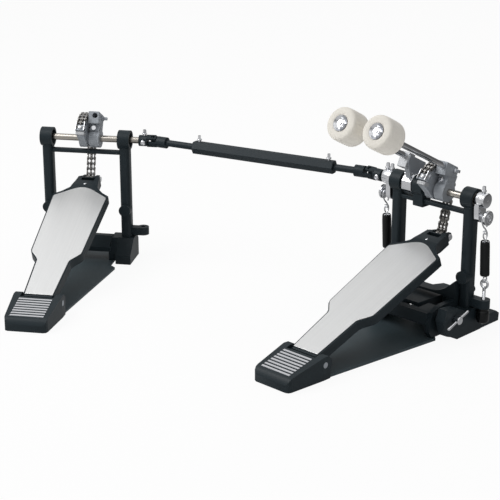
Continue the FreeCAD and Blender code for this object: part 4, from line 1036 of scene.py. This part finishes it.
# Small fittings
class PEDAL_OT_fittings(bpy.types.Operator):
    """Adds the left rod arm, the T-handle, the chain anchors, the screws and the neck rivets"""

    bl_idname = "pedal.fittings"
    bl_label = "Small fittings"

    def execute(self, context):
        self.left_arm()
        self.handle()
        for pedal, rocker in ROCKERS.items():
            self.anchor(pedal, rocker)
            spots = [((-0.6, 267, 8.65), (math.radians(-6.5), 0, 0), 0)]
            set_out(
                pedal + "_neck_rivet", spots, [screw_head_mesh(pedal + "_rivet", 2.1)], "chrome",
                pedal + "_treadle", (), PEDALS[pedal] @ BOARD)
        return {"FINISHED"}

    def left_arm(self):
        """The left beater's clamp ring on its shaft, the flat arm and the holder of the rod."""
        ring = Shape()
        ring.revolve([
            (5.05, -48), (15.0, -48), (15.7, -47.3), (15.7, -32.2), (15.0, -31.5), (5.05, -31.5)],
            AXLE @ TO_X @ turn(22.5, "Z"), 8, True)
        lug = ROCKER @ shift(0, -13.5, 9.5) @ TO_X
        for low in (-46.5, -38.5):
            ring.revolve([(0, low), (2.4, low), (2.8, low + 0.4), (2.8, low + 4.8), (0, low + 5.2)], lug, 20)
        piece("left_clamp_ring", ring, "chrome", "left_rocker", ("left_beater_hub",), edge=0.6)
        arm = Shape()
        outline = [(-11, 0), (11, 0), (8, 33.5), (-31.6, 33.5), (-31.6, 22.5), (-22, 12)]
        arm.prism(outline, -43, -34, UPRIGHT)
        piece("left_rod_arm", arm, "dark_alloy", "left_rocker", at=ROCKER, edge=1.0)
        holder = Shape()
        holder.block((-51, -32, 14.5), (-36, -18, 36.5))
        piece("left_rod_holder", holder, "light_alloy", "left_rocker", at=ROCKER, edge=0.9)

    def handle(self):
        """The hoop clamp's screw with its T-handle."""
        handle = Shape()
        handle.revolve([
            (0, 25), (4.0, 25), (4.0, 77.2), (5.2, 77.4), (5.6, 78.2), (5.6, 85.0), (5.0, 85.8), (0, 86.0)],
            shift(0, -46, 33) @ TO_X, 32)
        bar = [
            (0, -23.0), (1.3, -22.8), (2.2, -21.8), (2.3, -20), (2.0, -14), (1.9, -8), (1.9, 8), (2.0, 14),
            (2.3, 20), (2.2, 21.8), (1.3, 22.8), (0, 23.0)]
        handle.revolve(bar, shift(81.8, -46, 33) @ turn(-71, "X"), 28)
        piece("t_handle", handle, "chrome", "hoop_screw", ("hoop_wing_screw",))

    def anchor(self, pedal, rocker):
        """The plate, rails and bolt that hold a chain's end on its cam, and the cam's end ledge."""
        place = PEDALS[pedal] @ AXLE
        at = place @ turn(50, "X") @ shift(CHAIN_X, 0, 0)
        seat = Shape()
        seat.block((-6.0, -4.6, 31.0), (6.0, 4.6, 36.6), at)
        piece(pedal + "_anchor_seat", seat, "cam_alloy", rocker, edge=0.3)
        saddle = Shape()
        for x in (-6.9, 6.0):
            saddle.block((x, -5.2, 30.6), (x + 0.9, 9.4, 39.0), at)
        saddle.revolve([
            (0, 36.4), (3.1, 36.4), (3.3, 37.0), (3.0, 38.4), (2.0, 39.2), (0.9, 39.3), (0.7, 38.6),
            (0, 38.6)], at, 24)
        piece(pedal + "_chain_anchor", saddle, "chrome", rocker, edge=0.3)
        ledge = Shape()
        ledge.block((-6.6, -2.6, 25.0), (6.6, 2.6, 35.4), place @ turn(63.5, "X") @ shift(CHAIN_X, 0, 0))
        piece(pedal + "_cam_ledge", ledge, "light_alloy", rocker, edge=0.7)


# The frame's own parts, softened and finished
DRESSED = [
    ("{p}_left_post", "black_casting", "{p}_stand", "black_casting", 1.0),
    ("{p}_right_post", "black_casting", "{p}_stand", "black_casting", 1.0),
    ("{p}_crossbar", "black_casting", "{p}_stand", "black_casting", 0.8),
    ("{p}_base_plate", "black_plate", "{p}_stand", "black_plate", 0.8),
    ("{p}_foot_casting", "black_casting", "{p}_stand", "black_casting", 1.4),
    ("{p}_heel_plate", "black_casting", "{p}_stand", "black_casting", 1.0),
    ("{p}_hinge_pin", "cam_alloy", "{p}_stand", "steel", 0.0),
    ("{p}_bearings", "steel", "{p}_stand", "steel", 0.4),
    ("{p}_footboard", "black_casting", "{p}_treadle", "black_casting", 0.8),
    ("{p}_toe_bolt", "chrome", "{p}_treadle", "chrome", 0.5),
    ("{p}_cam", "cam_alloy", "{r}", "cam_alloy", 0.8),
    ("{p}_axle", "steel", "{r}", "steel", 0.4),
]
SINGLE = [
    ("left_shaft", "black_casting", "left_rocker", "black_casting", 0.5),
    ("hoop_clamp_jaw", "black_casting", "hoop_jaw", "black_casting", 0.8),
    ("drive_right_rod", "black_casting", "drive_shaft", "black_casting", 0.5),
    ("drive_left_rod", "black_casting", "drive_end", "black_casting", 0.5),
    ("drive_tube", "black_casting", "drive_shaft", "black_casting", 0.6),
]
LISTED_EDGE = 0.9
YOKE_FROM = 83.5
BOLTS_FROM = 8.0
SIDE_BOLT_FROM = 22.9


class PEDAL_OT_castings(bpy.types.Operator):
    """Finishes posts, plates, footboards, cams, axles and the drive shaft with rounded edges"""

    bl_idname = "pedal.castings"
    bl_label = "Castings and shafts"

    def execute(self, context):
        scale = sizes().casting_edge / LISTED_EDGE
        rows = list(SINGLE)
        for pedal, rocker in ROCKERS.items():
            for row in DRESSED:
                words = [text.format(p=pedal, r=rocker) for text in row[:4]]
                rows.append((*words, row[4]))
        made = {}
        for node, finish_name, body, slot_name, width in rows:
            made[node] = softened(node, finish_name, body, width * scale)
        for pedal, place in PEDALS.items():
            coat(made[pedal + "_axle"], "chrome", place @ AXLE, self.is_bolt)
        coat(made["slave_axle"], "cam_alloy", PEDALS["slave"] @ AXLE, self.is_side_bolt)
        coat(made["slave_axle"], "black_casting", PEDALS["slave"], self.is_yoke)
        return {"FINISHED"}

    def is_bolt(self, point):
        return math.hypot(point.y, point.z) > BOLTS_FROM and point.x < YOKE_FROM

    def is_side_bolt(self, point):
        return self.is_bolt(point) and point.x > SIDE_BOLT_FROM

    def is_yoke(self, point):
        return point.x > YOKE_FROM


# Camera, light and floor, in metres: a lamp has a place, a width and a power
LAMPS = {
    "key": ((-1.3, -1.5, 2.0), 1.6, 37.0),
    "right fill": ((1.9, -0.3, 1.5), 1.2, 1.5),
    "rim": ((-0.6, 1.7, 1.9), 1.4, 6.0),
}
LIT_PLACE = Vector((-0.2, -0.1, 0.1))
ROOM_LIGHT = 0.42
SEEN_GLOW = 0.93
MIRRORED_GLOW = 0.88
FLOOR_HALF = 9
FLOOR_DROP = 0.0004


class PEDAL_OT_stage(bpy.types.Operator):
    """Sets the camera, the pale floor and the soft light"""

    bl_idname = "pedal.stage"
    bl_label = "Stage"

    def execute(self, context):
        scene = context.scene
        scene.view_settings.view_transform = "Standard"
        lens = bpy.data.cameras.new("camera")
        lens.lens = 108.5
        lens.sensor_width = 36.0
        lens.clip_end = 20.0
        camera = link(bpy.data.objects.new("camera", lens))
        camera.location = (1.191, -1.590, 0.789)
        camera.rotation_euler = (math.radians(70.77), 0.0, math.radians(44.15))
        scene.camera = camera
        for name, (place, size, power) in LAMPS.items():
            lamp = bpy.data.lights.new(name, "AREA")
            lamp.size = size
            lamp.energy = power
            light = link(bpy.data.objects.new(name, lamp))
            light.location = place
            aim = LIT_PLACE - Vector(place)
            light.rotation_euler = aim.to_track_quat("-Z", "Y").to_euler()
        world = bpy.data.worlds.new("studio")
        scene.world = world
        world.use_nodes = True
        self.studio(Graph(world.node_tree))
        floor = bpy.data.meshes.new("floor")
        half = FLOOR_HALF
        corners = [(-half, -half, 0), (half, -half, 0), (half, half, 0), (-half, half, 0)]
        floor.from_pydata(corners, [], [(0, 1, 2, 3)])
        ground = link(bpy.data.objects.new("floor", floor))
        ground.location.z = -FLOOR_DROP
        pale = bpy.data.materials.new("pale floor")
        pale.use_nodes = True
        self.cloth(Graph(pale.node_tree))
        floor.materials.append(pale)
        return {"FINISHED"}

    def rays(self, graph):
        """Whether a ray is seen straight or through something, and whether it is mirrored."""
        seen = graph.node("ShaderNodeLightPath", None, None, output="Is Camera Ray")
        through = graph.node("ShaderNodeLightPath", None, None, output="Is Transmission Ray")
        mirrored = graph.node("ShaderNodeLightPath", None, None, output="Is Glossy Ray")
        return seen.at_least(through), mirrored

    def studio(self, graph):
        """A white room, dimmer in mirrors towards the right and the back, and plain where it lights."""
        seen, mirrored = self.rays(graph)
        way = graph.node("ShaderNodeTexCoord", None, None, output="Generated")
        side = (graph.along(way, (-0.10, -0.25, 0.963)) * 0.95 + 0.21).at_least(0.1).at_most(1.0)
        level = seen + (1 - seen) * (mirrored * side + (1 - mirrored) * ROOM_LIGHT)
        light = graph.node("ShaderNodeBackground", None, {"Color": (1, 1, 1, 1), "Strength": level})
        graph.node("ShaderNodeOutputWorld", None, {"Surface": light})

    def cloth(self, graph):
        """A white floor that keeps a soft shadow, dimmer in mirrors towards the right and the back."""
        seen, mirrored = self.rays(graph)
        spots = graph.node("ShaderNodeTexCoord", None, None, output="Object")
        side = (0.40 - graph.along(spots, (0.62, 0.78, 0.0)) * 0.5).at_least(0.1).at_most(0.6)
        cloth = graph.node("ShaderNodeBsdfDiffuse", None, {"Color": colour("floor")})
        glow = graph.node(
            "ShaderNodeEmission", None, {"Color": (1, 1, 1, 1), "Strength": seen + (1 - seen) * side})
        share = seen * SEEN_GLOW + mirrored * MIRRORED_GLOW
        mix = graph.node("ShaderNodeMixShader", None, {0: share, 1: cloth, 2: glow})
        graph.node("ShaderNodeOutputMaterial", None, {"Surface": mix})


class PEDAL_PT_pedal(bpy.types.Panel):
    """Lists the pedal's makers, sizes and colours"""

    bl_idname = "PEDAL_PT_pedal"
    bl_label = "Double pedal"
    bl_space_type = "VIEW_3D"
    bl_region_type = "UI"
    bl_category = "Pedal"

    def draw(self, context):
        for maker in MAKERS:
            self.layout.operator(maker.bl_idname)
        for group in (context.scene.pedal_sizes, context.scene.pedal_colours):
            column = self.layout.column()
            for name in group.bl_rna.properties.keys():
                if name not in ("rna_type", "name"):
                    column.prop(group, name)


MAKERS = [
    PEDAL_OT_castings, PEDAL_OT_boards, PEDAL_OT_beaters, PEDAL_OT_chains, PEDAL_OT_springs, PEDAL_OT_levers,
    PEDAL_OT_fittings, PEDAL_OT_stage,
]
CLASSES = [PedalSizes, PedalColours, *MAKERS, PEDAL_PT_pedal]


def register():
    for item in CLASSES:
        bpy.utils.register_class(item)
    bpy.types.Scene.pedal_sizes = bpy.props.PointerProperty(type=PedalSizes)
    bpy.types.Scene.pedal_colours = bpy.props.PointerProperty(type=PedalColours)


def unregister():
    del bpy.types.Scene.pedal_colours
    del bpy.types.Scene.pedal_sizes
    for item in reversed(CLASSES):
        bpy.utils.unregister_class(item)


def main():
    register()
    bpy.ops.pedal.castings()
    bpy.ops.pedal.boards()
    bpy.ops.pedal.beaters()
    bpy.ops.pedal.chains()
    bpy.ops.pedal.springs()
    bpy.ops.pedal.levers()
    bpy.ops.pedal.fittings()
    bpy.ops.pedal.stage()


if __name__ == "__main__":
    main()
